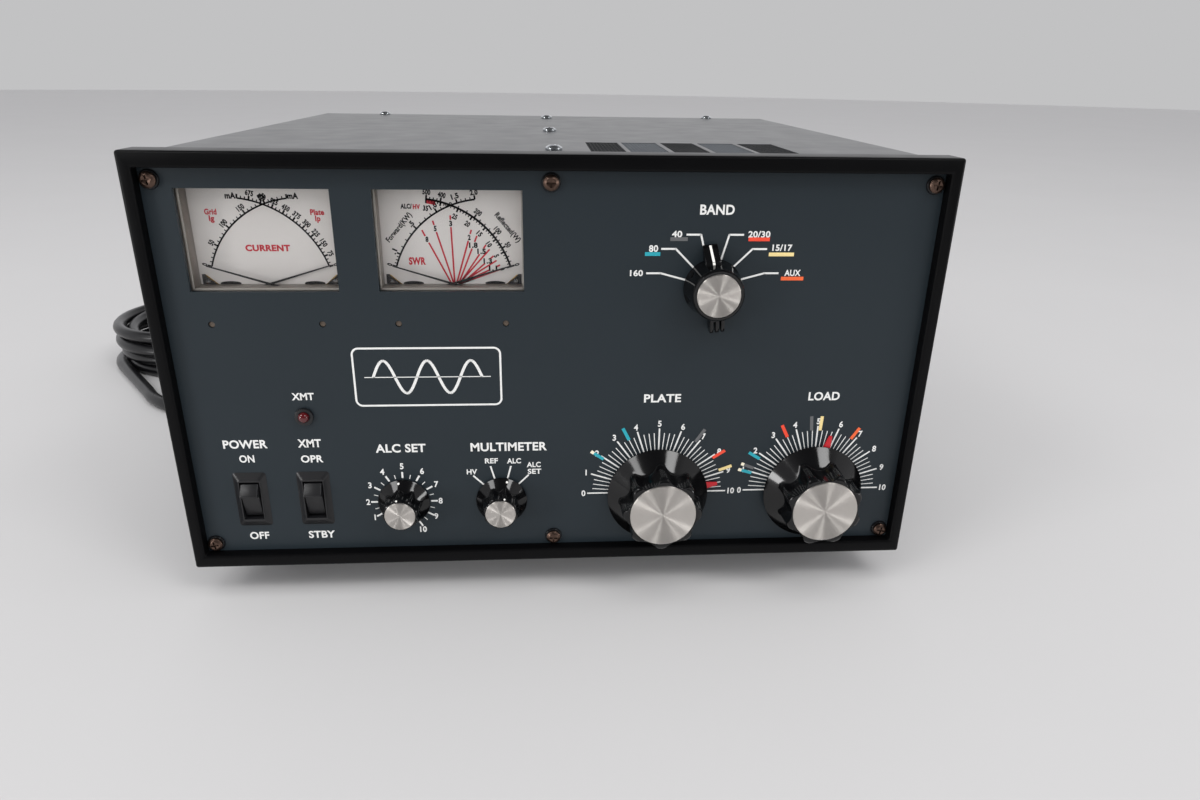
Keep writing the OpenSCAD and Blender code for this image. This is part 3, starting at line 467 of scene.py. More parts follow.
class Shape:
    """A mesh in the making, in millimetres."""

    def __init__(self) -> None:
        """Starts empty."""
        self.bm = bmesh.new()

    def moved(self, matrix: Matrix) -> "Shape":
        """The same shape after a transform."""
        bmesh.ops.transform(self.bm, matrix=matrix, verts=self.bm.verts)
        return self

    def join(self, *others: "Shape") -> "Shape":
        """Takes in other shapes, which are used up."""
        for other in others:
            carrier = bpy.data.meshes.new("carrier")
            other.bm.to_mesh(carrier)
            other.bm.free()
            self.bm.from_mesh(carrier)
            bpy.data.meshes.remove(carrier)
        return self

    def copy(self) -> "Shape":
        """A second shape like this one."""
        twin = Shape()
        carrier = bpy.data.meshes.new("carrier")
        self.bm.to_mesh(carrier)
        twin.bm.from_mesh(carrier)
        bpy.data.meshes.remove(carrier)
        return twin

    def edges_over(self, degrees: float) -> list[bmesh.types.BMEdge]:
        """The edges where the surface turns by more than an angle."""
        limit = math.radians(degrees)
        return [e for e in self.bm.edges if len(e.link_faces) == 2 and e.calc_face_angle(0) > limit]

    def soften(self, width: float, segments: int = 2, degrees: float = 30) -> "Shape":
        """Rounds the hard edges over."""
        bmesh.ops.bevel(
            self.bm, geom=self.edges_over(degrees), offset=width, offset_type="OFFSET",
            segments=segments, profile=0.5, affect="EDGES", clamp_overlap=True, material=-1,
        )
        return self

    def mesh(self, name: str, sharp: float) -> bpy.types.Mesh:
        """The finished mesh in metres, smooth but for edges sharper than `sharp` degrees."""
        for face in self.bm.faces:
            face.smooth = True
        for edge in self.bm.edges:
            edge.smooth = True
        for edge in self.edges_over(sharp):
            edge.smooth = False
        bmesh.ops.scale(self.bm, vec=(MM, MM, MM), verts=self.bm.verts)
        made = bpy.data.meshes.new(name)
        self.bm.to_mesh(made)
        self.bm.free()
        return made

    def piece(
        self,
        name: str,
        body: Body,
        finish: Finish,
        replaces: tuple[str, ...] = (),
        sharp: float = 35,
        closed: bool = True,
    ) -> bpy.types.Object:
        """Makes the shape a piece of the object.

        Args:
            name: the piece's name.
            body: the body that it rides on.
            finish: its surface.
            replaces: the CAD nodes that it stands for.
            sharp: angle past which an edge stays crisp.
            closed: whether it is made of closed shells, whose faces are turned outwards.

        Returns:
            The object.
        """
        if closed:
            bmesh.ops.remove_doubles(self.bm, verts=self.bm.verts, dist=1e-4)
            bmesh.ops.recalc_face_normals(self.bm, faces=self.bm.faces)
        made = bpy.data.objects.new(name, self.mesh(name, sharp))
        bpy.context.scene.collection.objects.link(made)
        made.data.materials.append(finish.material())
        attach(made, body.value)
        if replaces:
            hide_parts(*replaces)
        LOG.info("%s: %d faces on %s", name, len(made.data.polygons), body.value)
        return made


def lathe(profile: list[Pair], steps: int = 64) -> Shape:
    """Spins a profile of (radius, height) points round +z."""
    made = Shape()
    points = [made.bm.verts.new((r, 0, z)) for r, z in profile]
    lines = [made.bm.edges.new(pair) for pair in zip(points, points[1:])]
    bmesh.ops.spin(
        made.bm, geom=points + lines, cent=(0, 0, 0), axis=(0, 0, 1), angle=2 * math.pi,
        steps=steps, use_merge=True,
    )
    bmesh.ops.remove_doubles(made.bm, verts=made.bm.verts, dist=1e-4)
    bmesh.ops.recalc_face_normals(made.bm, faces=made.bm.faces)
    return made


def block(low: Triple, high: Triple, round_by: float = 0) -> Shape:
    """A box from corner to corner, its edges rounded over."""
    made = Shape()
    size = Vector(high) - Vector(low)
    middle = (Vector(high) + Vector(low)) / 2
    bmesh.ops.create_cube(made.bm, size=1, matrix=Matrix.Translation(middle) @ Matrix.Diagonal((*size, 1)))
    return made.soften(round_by) if round_by else made


def prism(outline: list[Pair], height: float, round_by: float = 0) -> Shape:
    """An outline on the x, y plane drawn up along z, its edges rounded over."""
    made = Shape()
    face = made.bm.faces.new([made.bm.verts.new((x, y, 0)) for x, y in outline])
    raised = bmesh.ops.extrude_face_region(made.bm, geom=[face])["geom"]
    tops = [g for g in raised if isinstance(g, bmesh.types.BMVert)]
    bmesh.ops.translate(made.bm, verts=tops, vec=(0, 0, height))
    bmesh.ops.recalc_face_normals(made.bm, faces=made.bm.faces)
    return made.soften(round_by) if round_by else made


def softened(node: str, width: float, segments: int = 2, degrees: float = 30) -> Shape:
    """A copy of a CAD node with its hard edges rounded over.

    Args:
        node: the CAD node.
        width: how far the rounding reaches, in mm.
        segments: steps of the rounding.
        degrees: angle past which an edge counts as hard.

    Returns:
        The shape, in mm.
    """
    made = Shape()
    made.bm.from_mesh(bpy.data.objects[node].data)
    bmesh.ops.scale(made.bm, vec=(1 / MM, 1 / MM, 1 / MM), verts=made.bm.verts)
    bmesh.ops.remove_doubles(made.bm, verts=made.bm.verts, dist=1e-3)
    bmesh.ops.dissolve_limit(
        made.bm, angle_limit=math.radians(1), verts=made.bm.verts, edges=made.bm.edges
    )
    return made.soften(width, segments, degrees)


def spline(a: Vector, b: Vector, c: Vector, d: Vector, t: float) -> Vector:
    """The point at share t between b and c on the smooth line through four points."""
    return 0.5 * (2 * b + (c - a) * t + (2 * a - 5 * b + 4 * c - d) * t * t + (3 * b - a - 3 * c + d) * t**3)


# --- Studio ------------------------------------------------------------------


@dataclass
class Studio:
    """Camera at the photograph's angle, soft lamps, and a plain pale floor."""

    lens: float = 24.43
    place: Triple = (-0.00645, -0.5251, 0.2489)
    yaw: float = 0.0757
    pitch: float = 0.385
    roll: float = 0.0173
    floor_r: float = 9.0
    floor_colour: str = "#c9c8c7"
    wall_colour: str = "#c2c2c3"
    mirrored_colour: str = "#cfcfd1"
    lamps: tuple[tuple[str, Triple, float, float, float, bool], ...] = (
        ("softbox_left", (-1.5, -1.2, 1.7), 0.8, 0.6, 11.0, True),
        ("softbox_right", (1.2, -1.3, 1.9), 0.7, 0.5, 10.0, True),
        ("softbox_low_right", (1.85, -0.9, 0.15), 0.4, 0.4, 5.0, True),
        ("softbox_low_left", (-1.55, -1.2, 0.22), 0.4, 0.4, 7.0, True),
        ("softbox_top", (0.1, -1.3, 3.6), 3.2, 2.4, 36.0, False),
    )

    def camera(self) -> None:
        """Makes the camera and gives it to the scene."""
        data = bpy.data.cameras.new("camera")
        data.lens = self.lens
        data.clip_start = 0.01
        made = bpy.data.objects.new("camera", data)
        bpy.context.scene.collection.objects.link(made)
        flat = math.cos(self.pitch)
        ahead = Vector((math.sin(self.yaw) * flat, math.cos(self.yaw) * flat, -math.sin(self.pitch)))
        right = Vector((math.cos(self.yaw), -math.sin(self.yaw), 0))
        up = right.cross(ahead)
        side = math.cos(self.roll) * right + math.sin(self.roll) * up
        top = -math.sin(self.roll) * right + math.cos(self.roll) * up
        turn = Matrix((side, top, -ahead)).transposed().to_4x4()
        made.matrix_world = Matrix.Translation(self.place) @ turn
        bpy.context.scene.camera = made

    def light(self) -> None:
        """Makes the softboxes and the surroundings: pale walls under a dark ceiling."""
        for name, place, width, height, power, mirrored in self.lamps:
            data = bpy.data.lights.new(name, "AREA")
            data.shape = "RECTANGLE"
            data.size, data.size_y, data.energy = width, height, power
            lamp = bpy.data.objects.new(name, data)
            bpy.context.scene.collection.objects.link(lamp)
            lamp.location = place
            lamp.rotation_euler = (Vector((0, 0, 0.1)) - Vector(place)).to_track_quat("-Z", "Y").to_euler()
            lamp.visible_glossy = mirrored
        world = bpy.data.worlds.new("surroundings")
        bpy.context.scene.world = world
        world.use_nodes = True
        tree = world.node_tree
        tree.nodes.clear()
        path = add(tree, "LightPath").outputs
        way = add(tree, "SeparateXYZ", {0: add(tree, "TexCoord").outputs["Generated"]}).outputs
        ceiling = ramp(tree, way[2], 0.5, 0.85, 1.0, 0.12)
        behind = ramp(tree, way[1], -0.85, -0.5, 0.2, 1.0)
        ahead = ramp(tree, way[1], 0.4, 0.9, 1.0, 1.35)
        dim = add(tree, "Math", {0: ceiling, 1: behind}, operation="MULTIPLY").outputs[0]
        dim = add(tree, "Math", {0: dim, 1: ahead}, operation="MULTIPLY").outputs[0]
        front = ramp(tree, way[1], -1.0, 1.0, 1.25, 0.35)
        fill = add(tree, "Background", {"Color": linear("#fbfbff"), "Strength": front})
        mirrored = add(tree, "Background", {"Color": linear(self.mirrored_colour), "Strength": dim})
        walls = add(tree, "Background", {"Color": linear(self.wall_colour), "Strength": 1.0})
        straight = {0: path["Is Camera Ray"], 1: path["Is Transmission Ray"]}
        seen = add(tree, "Math", straight, operation="MAXIMUM")
        mixed = add(tree, "MixShader", {0: path["Is Glossy Ray"], 1: fill.outputs[0], 2: mirrored.outputs[0]})
        mixed = add(tree, "MixShader", {0: seen.outputs[0], 1: mixed.outputs[0], 2: walls.outputs[0]})
        add(tree, "OutputWorld", {"Surface": mixed.outputs[0]})

    def floor(self) -> None:
        """Makes the floor, a wide pale disc."""
        ground = Shape()
        bmesh.ops.create_circle(ground.bm, cap_ends=True, segments=96, radius=self.floor_r / MM)
        made = bpy.data.objects.new("studio_floor", ground.mesh("studio_floor", 30))
        bpy.context.scene.collection.objects.link(made)
        paper = Finish("paper_floor", "", self.floor_colour, 0.7, drift=0.02, drift_mm=300, grain_depth=0)
        made.data.materials.append(paper.material())
        made.location.z = -0.0002

    def cloth(self) -> None:
        """Makes a dark cloth on the floor behind the camera, which the upper front mirrors."""
        spread = Shape()
        middle = Matrix.Translation((0, -4200, 0)) @ Matrix.Diagonal((9000, 6000, 1, 1))
        bmesh.ops.create_grid(spread.bm, x_segments=1, y_segments=1, size=0.5, matrix=middle)
        made = bpy.data.objects.new("studio_cloth", spread.mesh("studio_cloth", 30))
        bpy.context.scene.collection.objects.link(made)
        black = Finish("black_cloth", "", "#161616", 0.9, drift=0.05, drift_mm=300, grain_depth=0)
        made.data.materials.append(black.material())

    def build(self) -> None:
        """Makes all of it."""
        bpy.context.scene.view_settings.view_transform = "Standard"
        self.camera()
        self.light()
        self.floor()
        self.cloth()


# --- Mains lead --------------------------------------------------------------


@dataclass
class MainsLead:
    """The mains lead: over the table, wound up in a coil beside the case, and its plug."""

    cord_r: float = 4.9
    start: Triple = (-140.0, 192.5, 45.0)
    lead: tuple[Triple, ...] = (
        (-140, 192.5, 45), (-140, 196.5, 45), (-140, 206.5, 45), (-140, 221, 42), (-142, 239, 33),
        (-149, 256, 20), (-163, 272, 9), (-183, 280, 4.9), (-205, 274, 4.9), (-221, 257, 4.9),
        (-227, 235, 4.9), (-227, 206, 4.9), (-227, 175, 4.9), (-227, 144, 4.9), (-227, 114, 4.9),
        (-236, 88, 4.9), (-258, 71, 4.9), (-286, 71, 4.9), (-308, 87, 4.9), (-323, 107, 4.9),
        (-338, 127, 4.9), (-353, 147, 4.9), (-362, 159, 4.9),
    )
    tail: tuple[Triple, ...] = (
        (-306, 271, 35.8), (-294, 271, 35.8), (-279, 274, 32.5), (-265, 283, 25.5),
        (-253, 293, 19), (-241, 300, 15.8), (-230, 303, 15), (-220, 303, 15),
    )
    coil_middle: Pair = (-316.0, 206.0)
    coil_start: float = 216.8699
    coil_turns: float = 5 + (216.8699 - 90) / 360
    coil_layers: int = 4
    coil_r: float = 65.0
    pitch: float = 10.3
    per_turn: int = 48
    plug_profile: tuple[Pair, ...] = (
        (0, 0), (6, 0), (6.3, 2), (6.1, 3), (6.9, 4.6), (6.5, 5.6), (7.2, 8.4), (6.9, 9.4), (7.6, 12.4),
        (7.3, 13.4), (8, 17), (10, 19.6), (13, 22), (14.6, 24.4), (15, 27), (15, 45), (14.6, 47.2), (14, 48),
        (0, 48),
    )

    def smooth(self, route: tuple[Triple, ...], steps: int) -> list[Vector]:
        """The route as a smooth line that never sinks into the table."""
        points = [Vector(p) for p in route]
        last = len(points) - 1
        line = []
        for i in range(last):
            near = (points[max(i - 1, 0)], points[i], points[i + 1], points[min(i + 2, last)])
            for s in range(steps):
                p = spline(*near, s / steps)
                line.append(Vector((p.x, p.y, max(p.z, self.cord_r))))
        return line + [points[-1]]

    def coil(self) -> list[Vector]:
        """The turns, in and out by one pitch a turn and up a layer at each reversal."""
        layer = self.coil_turns / self.coil_layers
        count = round(self.coil_turns * self.per_turn)
        line = []
        for i in range(count + 1):
            u = i * self.coil_turns / count
            k = math.floor(u / layer)
            f = u / layer - k
            r = self.coil_r - self.pitch * layer * (f if k % 2 == 0 else 1 - f)
            up = sum(min(max((u - n * layer) * 2 + 0.5, 0), 1) for n in (1, 2, 3))
            a = math.radians(self.coil_start - 360 * u)
            x, y = self.coil_middle[0] + r * math.cos(a), self.coil_middle[1] + r * math.sin(a)
            line.append(Vector((x, y, self.cord_r + self.pitch * up)))
        return line

    def build(self) -> None:
        """Makes the lead as one curve, with its strain relief and plug."""
        line = self.smooth(self.lead, 4) + self.coil() + self.smooth(self.tail, 4)
        line = [p for i, p in enumerate(line) if i == 0 or (p - line[i - 1]).length > 0.5]
        data = bpy.data.curves.new("mains_lead", "CURVE")
        data.dimensions = "3D"
        data.bevel_depth = self.cord_r * MM
        data.bevel_resolution = 4
        data.use_fill_caps = True
        spline_made = data.splines.new("POLY")
        spline_made.points.add(len(line) - 1)
        for point, p in zip(spline_made.points, line):
            point.co = (*(p * MM), 1)
        spline_made.use_smooth = True
        cord = bpy.data.objects.new("mains_lead", data)
        bpy.context.scene.collection.objects.link(cord)
        data.materials.append(CORD_PVC.material())
        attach(cord, Body.CABINET.value)
        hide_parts("mains_cord", "cord_coil")
        self.plug()
        self.plug_blades()
        self.gland()

    def plug(self) -> bpy.types.Object:
        """The moulded plug, ribbed where the lead enters it."""
        end = Vector(self.tail[-1])
        along = Matrix.Translation(end) @ Matrix.Rotation(math.pi / 2, 4, "Y")
        body = lathe(list(self.plug_profile), 64)
        for v in body.bm.verts:
            if v.co.z > 24 and abs(v.co.y) > 13:
                v.co.y = math.copysign(13 + (abs(v.co.y) - 13) * 0.4, v.co.y)
        return body.moved(along).piece("mains_plug_body", Body.CABINET, CORD_PVC, ("mains_plug",))

    def plug_blades(self) -> bpy.types.Object:
        """Two flat blades and the round earth pin."""
        x, y, z = self.tail[-1]
        parts = Shape()
        for side in (-1, 1):
            middle = y + side * 6.35
            parts.join(block((x + 47, middle - 0.75, z - 4.2), (x + 65.5, middle + 0.75, z + 2.1), 0.35))
        pin = lathe([(0, 0), (2.4, 0), (2.4, 19), (1.6, 20.6), (0, 21)], 32)
        parts.join(pin.moved(Matrix.Translation((x + 47, y, z + 8)) @ Matrix.Rotation(math.pi / 2, 4, "Y")))
        return parts.piece("mains_plug_blades", Body.CABINET, NICKEL)

    def gland(self) -> bpy.types.Object:
        """The tapered strain relief with its flexing ribs."""
        ribs = [(11, 4), (9.5, 4.6), (8.4, 6)]
        for k in range(6):
            z = 9 + 3 * k
            r = 8.2 - 2.0 * k / 6
            ribs += [(r, z), (r, z + 1.6), (r - 0.9, z + 1.9), (r - 1.0, z + 2.8)]
        profile = [(0, -6), (7, -6), (7, 0), (10.6, 0), (11, 0.4), *ribs, (6, 27.4), (5.8, 28), (0, 28)]
        seat = Matrix.Translation((-140, 164.5, 45)) @ Matrix.Rotation(-math.pi / 2, 4, "X")
        return lathe(profile, 48).moved(seat).piece(
            "cord_strain_relief", Body.CABINET, CORD_PVC, ("cord_gland",)
        )


# --- Case --------------------------------------------------------------------


@dataclass
class Case:
    """Bezel, painted panel, folded cover with its vents, rear panel, feet and screws."""

    half_w: float = 178.0
    low: float = 18.0
    high: float = 216.0
    opening: Triple = (172.7, 24.3, 209.1)
    bezel_edge: float = 1.3
    vent_x: tuple[float, ...] = (17.0, 35.5, 56.0, 75.5, 96.5)
    vent_w: tuple[float, ...] = (16.5, 18.0, 17.0, 18.5, 18.5)
    vent_y: Pair = (-135.0, -84.0)
    mesh_z: float = 213.8
    mesh_gap: float = 0.08
    hole_pitch: float = 1.7
    wire_r: float = 0.3
    trimmer_r: float = 1.4
    trimmer_l: float = 1.9
    trimmer_depth: float = 2.7

    def bezel(self) -> None:
        """The moulded frame: outer edges well rounded, a small lip inside."""
        made = Shape()
        w, middle = self.half_w, (self.low + self.high) / 2
        outer = [(-w, self.low), (w, self.low), (w, self.high), (-w, self.high)]
        face = made.bm.faces.new([made.bm.verts.new((x, COVER_Y, z)) for x, z in outer])
        side, foot, head = self.opening
        bmesh.ops.inset_individual(made.bm, faces=[face], thickness=w - side, use_even_offset=True)
        for v in face.verts:
            v.co.x = math.copysign(side, v.co.x)
            v.co.z = foot if v.co.z < middle else head
        bmesh.ops.delete(made.bm, geom=[face], context="FACES_ONLY")
        raised = bmesh.ops.extrude_face_region(made.bm, geom=list(made.bm.faces))["geom"]
        fronts = [g for g in raised if isinstance(g, bmesh.types.BMVert)]
        bmesh.ops.translate(made.bm, verts=fronts, vec=(0, BEZEL_Y - COVER_Y, 0))
        bmesh.ops.recalc_face_normals(made.bm, faces=made.bm.faces)
        made.soften(self.bezel_edge, 4)
        made.piece("front_frame", Body.CABINET, BEZEL_ABS, ("front_bezel",), sharp=50)

    def vents(self) -> None:
        """Perforated sheet in each opening, each patch on a backing sheet: in the dark patches the backing is
        painted shade of the case's inside; every second patch has a paler one behind it.
        """
        for pale, finish in ((False, VENT_DARK_AND_SHADE), (True, VENT_PALE)):
            sheet = Shape()
            for k, (x, w) in enumerate(zip(self.vent_x, self.vent_w)):
                if (k % 2 == 1) is pale:
                    sheet.join(self.mesh_patch(x, w))
            name = "vent_mesh_grey" if pale else "vent_mesh_dark"
            sheet.piece(name, Body.CABINET, finish, () if pale else ("vent_screen",), closed=False)

    def mesh_patch(self, x: float, w: float) -> Shape:
        """A patch of crossed wires on a backing sheet, dark or paler grey; the dark backing is painted shade.
        """
        patch = Shape()
        gap, wire, top = self.mesh_gap, self.wire_r, self.mesh_z
        x0, x1, y0, y1 = x + gap, x + w - gap, self.vent_y[0] + gap, self.vent_y[1] - gap
        rows = int((y1 - y0) / self.hole_pitch)
        columns = int((x1 - x0) / self.hole_pitch)
        for k in range(rows + 1):
            y = y0 + wire + k * (y1 - y0 - 2 * wire) / rows
            patch.join(block((x0, y - wire, top - 0.4), (x1, y + wire, top)))
        for k in range(columns + 1):
            at = x0 + wire + k * (x1 - x0 - 2 * wire) / columns
            patch.join(block((at - wire, y0, top - 0.45), (at + wire, y1, top - 0.05)))
        # The backing sheet under the wires: in the dark patches it is painted shade of the case's inside seen
        # through the holes.
        return patch.join(block((x0, y0, top - 1.0), (x1, y1, top - 0.6)))

    def trimmers(self) -> None:
        """The heads of the trimmers, a little way back in their holes."""
        heads = Shape()
        r, end = self.trimmer_r, self.trimmer_l
        profile = [(0, 0), (r, 0), (r, end - 0.2), (r - 0.2, end), (0, end)]
        for place in TRIMMERS:
            heads.join(lathe(profile, 32).moved(front_frame(place, PANEL_Y + self.trimmer_depth)))
        heads.piece("trimmer_heads", Body.CABINET, TRIMMER_BROWN)

    def screws(self) -> None:
        """Panel screws in their cup washers, and the cover's bright screws."""
        for node, edge, name, finish in (
            ("panel_screws", 0.15, "panel_screw_heads", SCREW_BRONZE),
            ("cup_washers", 0.2, "panel_cup_washers", WASHER_BLACK),
            ("cover_screws", 0.2, "cover_screw_heads", SCREW_ZINC),
        ):
            softened(node, edge).piece(name, Body.CABINET, finish, (node,))

    def build(self) -> None:
        """Makes the case's own pieces and paints the CAD ones."""
        self.bezel()
        self.vents()
        self.trimmers()
        self.screws()
        paint("front_panel", PANEL_ENAMEL)
        paint("top_cover", COVER_POWDER)
        paint("rear_panel", REAR_POWDER)
        softened("rubber_feet", 0.8).piece("table_feet", Body.CABINET, FOOT_RUBBER, ("rubber_feet",))
        for name in ("chassis_pan", "sub_panel", "rf_shield"):
            paint(name, ZINC_STEEL)


def paint(node: str, finish: Finish) -> None:
    """Gives a CAD node its finish."""
    shown = bpy.data.objects[node]
    shown.data.materials.clear()
    shown.data.materials.append(finish.material())
    LOG.info("%s: painted %s", node, finish.name)


# --- Printing ----------------------------------------------------------------


class Ink:
    """A film of print or tape on a flat face that looks to the front."""

    def __init__(self, y: float) -> None:
        """Starts empty, on a face at depth y."""
        self.shape = Shape()
        self.y = y

    def line(self, a: Pair, b: Pair, width: float) -> None:
        """A straight stroke between two (x, z) points."""
        start, end = Vector(a), Vector(b)
        run = end - start
        angle = math.atan2(run.y, run.x)
        middle = (start + end) / 2
        frame = front_frame((middle.x, middle.y), self.y) @ Matrix.Rotation(angle, 4, "Z")
        stroke = Shape()
        size = Matrix.Diagonal((run.length, width, 1, 1))
        bmesh.ops.create_grid(stroke.bm, x_segments=1, y_segments=1, size=0.5, matrix=frame @ size)
        self.shape.join(stroke)

    def ray(self, centre: Pair, angle: float, r0: float, r1: float, width: float) -> None:
        """A stroke outwards from a centre, at degrees clockwise from straight up."""
        a = math.radians(angle)
        way = (math.sin(a), math.cos(a))
        ends = [(centre[0] + r * way[0], centre[1] + r * way[1]) for r in (r0, r1)]
        self.line(ends[0], ends[1], width)

    def arc(self, centre: Pair, r: float, start: float, end: float, width: float) -> None:
        """A curved stroke, its angles in degrees anticlockwise from +x."""
        band = Shape()
        pair = [band.bm.verts.new((r + s * width / 2, 0, 0)) for s in (-1, 1)]
        edge = band.bm.edges.new(pair)
        bmesh.ops.spin(
            band.bm, geom=[*pair, edge], cent=(0, 0, 0), axis=(0, 0, 1),
            angle=math.radians(end - start), steps=max(6, int(abs(end - start) / 3)),
        )
        turn = Matrix.Rotation(math.radians(start), 4, "Z")
        self.shape.join(band.moved(front_frame(centre, self.y) @ turn))

    def word(
        self,
        text: str,
        centre: Pair,
        height: float,
        width: float = 0,
        angle: float = 0,
        bold: float = 0.02,
    ) -> None:
        """A word in plain capitals or figures.

        Args:
            text: what it says.
            centre: its middle, (x, z).
            height: height of a capital.
            width: full width, or 0 for the letters' own width.
            angle: degrees anticlockwise.
            bold: how far each stroke is fattened, as a share of the letter size.
        """
        data = bpy.data.curves.new("word", "FONT")
        data.body = text
        data.offset = bold
        data.space_character = 1 + 1.6 * bold
        data.resolution_u = 4
        letters = bpy.data.objects.new("word", data)
        bpy.context.scene.collection.objects.link(letters)
        bpy.context.view_layer.update()
        flat = bpy.data.meshes.new_from_object(letters)
        bpy.data.objects.remove(letters)
        made = Shape()
        made.bm.from_mesh(flat)
        bpy.data.meshes.remove(flat)
        xs = [v.co.x for v in made.bm.verts]
        ys = [v.co.y for v in made.bm.verts]
        tall = height / 0.72
        wide = width / (max(xs) - min(xs)) if width else tall * 0.92
        middle = Matrix.Translation((-(max(xs) + min(xs)) / 2, -(max(ys) + min(ys)) / 2, 0))
        frame = front_frame(centre, self.y) @ Matrix.Rotation(math.radians(angle), 4, "Z")
        self.shape.join(made.moved(frame @ Matrix.Diagonal((wide, tall, 1, 1)) @ middle))

    def label(self, text: str, x0: float, x1: float, z0: float, z1: float) -> None:
        """A word that fills a given width and height."""
        self.word(text, ((x0 + x1) / 2, (z0 + z1) / 2), z1 - z0, x1 - x0, bold=0.028)

    def piece(self, name: str, finish: Finish) -> None:
        """Makes the film a piece of the cabinet, facing the viewer."""
        self.shape.bm.normal_update()
        backs = [f for f in self.shape.bm.faces if f.normal.y > 0]
        bmesh.ops.reverse_faces(self.shape.bm, faces=backs)
        self.shape.piece(name, Body.CABINET, finish, closed=False)


@dataclass
class FrontPrint:
    """White lettering, scales and nameplate of the panel, and its strips of coloured tape."""

    labels: tuple[tuple[str, float, float, float, float], ...] = (
        ("BAND", 63.5, 78.9, 190.6, 194.9),
        ("PLATE", 41.9, 59.8, 101.5, 105.6),
        ("LOAD", 122.3, 137.8, 101.6, 105.8),
        ("ALC SET", -86.6, -62.9, 77.0, 81.3),
        ("MULTIMETER", -41.5, -4.7, 76.9, 81.3),
        ("POWER", -157.1, -136.7, 80.3, 84.5),
        ("ON", -150.7, -143.7, 72.9, 76.6),
        ("OFF", -151.6, -142.3, 30.7, 34.6),
        ("XMT", -122.5, -112.4, 104.6, 108.1),
        ("XMT", -122.6, -111.8, 80.4, 84.5),
        ("OPR", -122.1, -111.7, 72.4, 76.1),
        ("STBY", -123.2, -110.4, 30.6, 34.5),
        ("160", 33.3, 39.2, 163.1, 165.8),
        ("80", 41.5, 45.6, 174.1, 177.0),
        ("40", 51.5, 56.1, 180.6, 183.4),
        ("20/30", 85.9, 95.9, 180.6, 183.4),
        ("15/17", 97.4, 106.5, 174.6, 177.4),
        ("AUX", 104.1, 111.6, 163.1, 165.9),
        ("HV", -43.9, -38.9, 64.5, 67.2),
        ("REF", -34.9, -28.6, 70.3, 73.0),
        ("ALC", -24.2, -17.4, 70.1, 72.8),
        ("ALC", -14.6, -7.8, 67.9, 70.6),
        ("SET", -14.2, -7.6, 64.2, 66.9),
    )
    strips: tuple[tuple[Pair, tuple[tuple[float, Finish, float, float], ...]], ...] = (
        (PLATE_PLACE, (
            (1.93, TAPE_TEAL, 32.9, 38.7), (1.93, TAPE_PALE, 38.7, 40.5), (3.5, TAPE_TEAL, 32.5, 39.5),
            (6.85, TAPE_GREY, 32.8, 40.8), (8.1, TAPE_RED, 32.9, 40.1), (8.85, TAPE_CREAM, 32.9, 39.7),
        )),
        (LOAD_PLACE, (
            (0.95, TAPE_TEAL, 32.7, 38.1), (0.95, TAPE_PALE, 38.1, 39.9), (1.22, TAPE_GREY, 32.7, 38.1),
            (1.22, TAPE_PALE, 38.1, 39.7), (1.78, TAPE_TEAL, 32.7, 39.5), (3.5, TAPE_RED, 32.7, 39.9),
            (4.7, TAPE_GREY, 32.7, 40.3), (5.12, TAPE_CREAM, 32.5, 40.1), (6.8, TAPE_ORANGE, 32.7, 39.7),
        )),
    )
    band_strips: tuple[tuple[Finish, float, float, float], ...] = (
        (TAPE_TEAL, 43.2, 173.1, 6.9), (TAPE_GREY, 54.8, 179.8, 7.8), (TAPE_RED, 91.0, 179.8, 9.7),
        (TAPE_CREAM, 101.8, 173.0, 11.6), (TAPE_ORANGE, 107.9, 161.9, 10.5),
    )
    strip_w: float = 1.6
    band_strip_w: float = 1.7
    plate: tuple[float, float, float, float] = (-93.2, -25.9, 101.4, 129.6)
    plate_corner: float = 3.0
    plate_line: float = 0.9
    wave_half: float = 25.0
    wave_height: float = 8.0
    wave_periods: float = 2.5
    wave_steps: int = 72
    wave_line: float = 1.3
    axis_half: float = 29.0
    axis_line: float = 0.4

    def scales(self, ink: Ink) -> None:
        """The two tuning scales, 0 to 10 over half a turn."""
        for place in (PLATE_PLACE, LOAD_PLACE):
            for k in range(41):
                angle = -90 + 4.5 * k
                main = k % 4 == 0
                ink.ray(place, angle, 22.0, 34.9 if main else 32.5, 0.75 if main else 0.42)
                if main:
                    a = math.radians(angle)
                    r = {0: 36.8, 40: 37.8}.get(k, 37.4)
                    at = (place[0] + r * math.sin(a), place[1] + r * math.cos(a))
                    ink.word(str(k // 4), at, 3.1, bold=0.03)

    def small_scales(self, ink: Ink) -> None:
        """Ticks and figures of the level control, lines of the meter switch and the band switch."""
        for k in range(21):
            angle = -150 + 15 * k
            main = k % 2 == 0
            ink.ray(ALC_PLACE, angle, 12.9, 16.2 if main else 15.0, 0.9 if main else 0.4)
            if main and k:
                a = math.radians(angle)
                r = 17.3 if abs(angle) == 120 else 17.6 + 1.7 * abs(math.cos(a))
                reach = (8.2, -16.0) if k == 20 else (r * math.sin(a), r * math.cos(a))
                ink.word(str(k // 2), (ALC_PLACE[0] + reach[0], ALC_PLACE[1] + reach[1]), 3.1, bold=0.03)
        for angle in (-45, -15, 15, 45):
            ink.ray(MULTI_PLACE, angle, 12.2, 19.2, 0.8)
        for angle in (-75, -45, -15, 15, 45, 75):
            ink.ray(BAND_PLACE, angle, 12.2, 24.8, 0.85)
            a = math.radians(angle)
            bend = (BAND_PLACE[0] + 24.6 * math.sin(a), BAND_PLACE[1] + 24.6 * math.cos(a))
            ink.line(bend, (bend[0] + math.copysign(6.6, angle), bend[1]), 0.85)

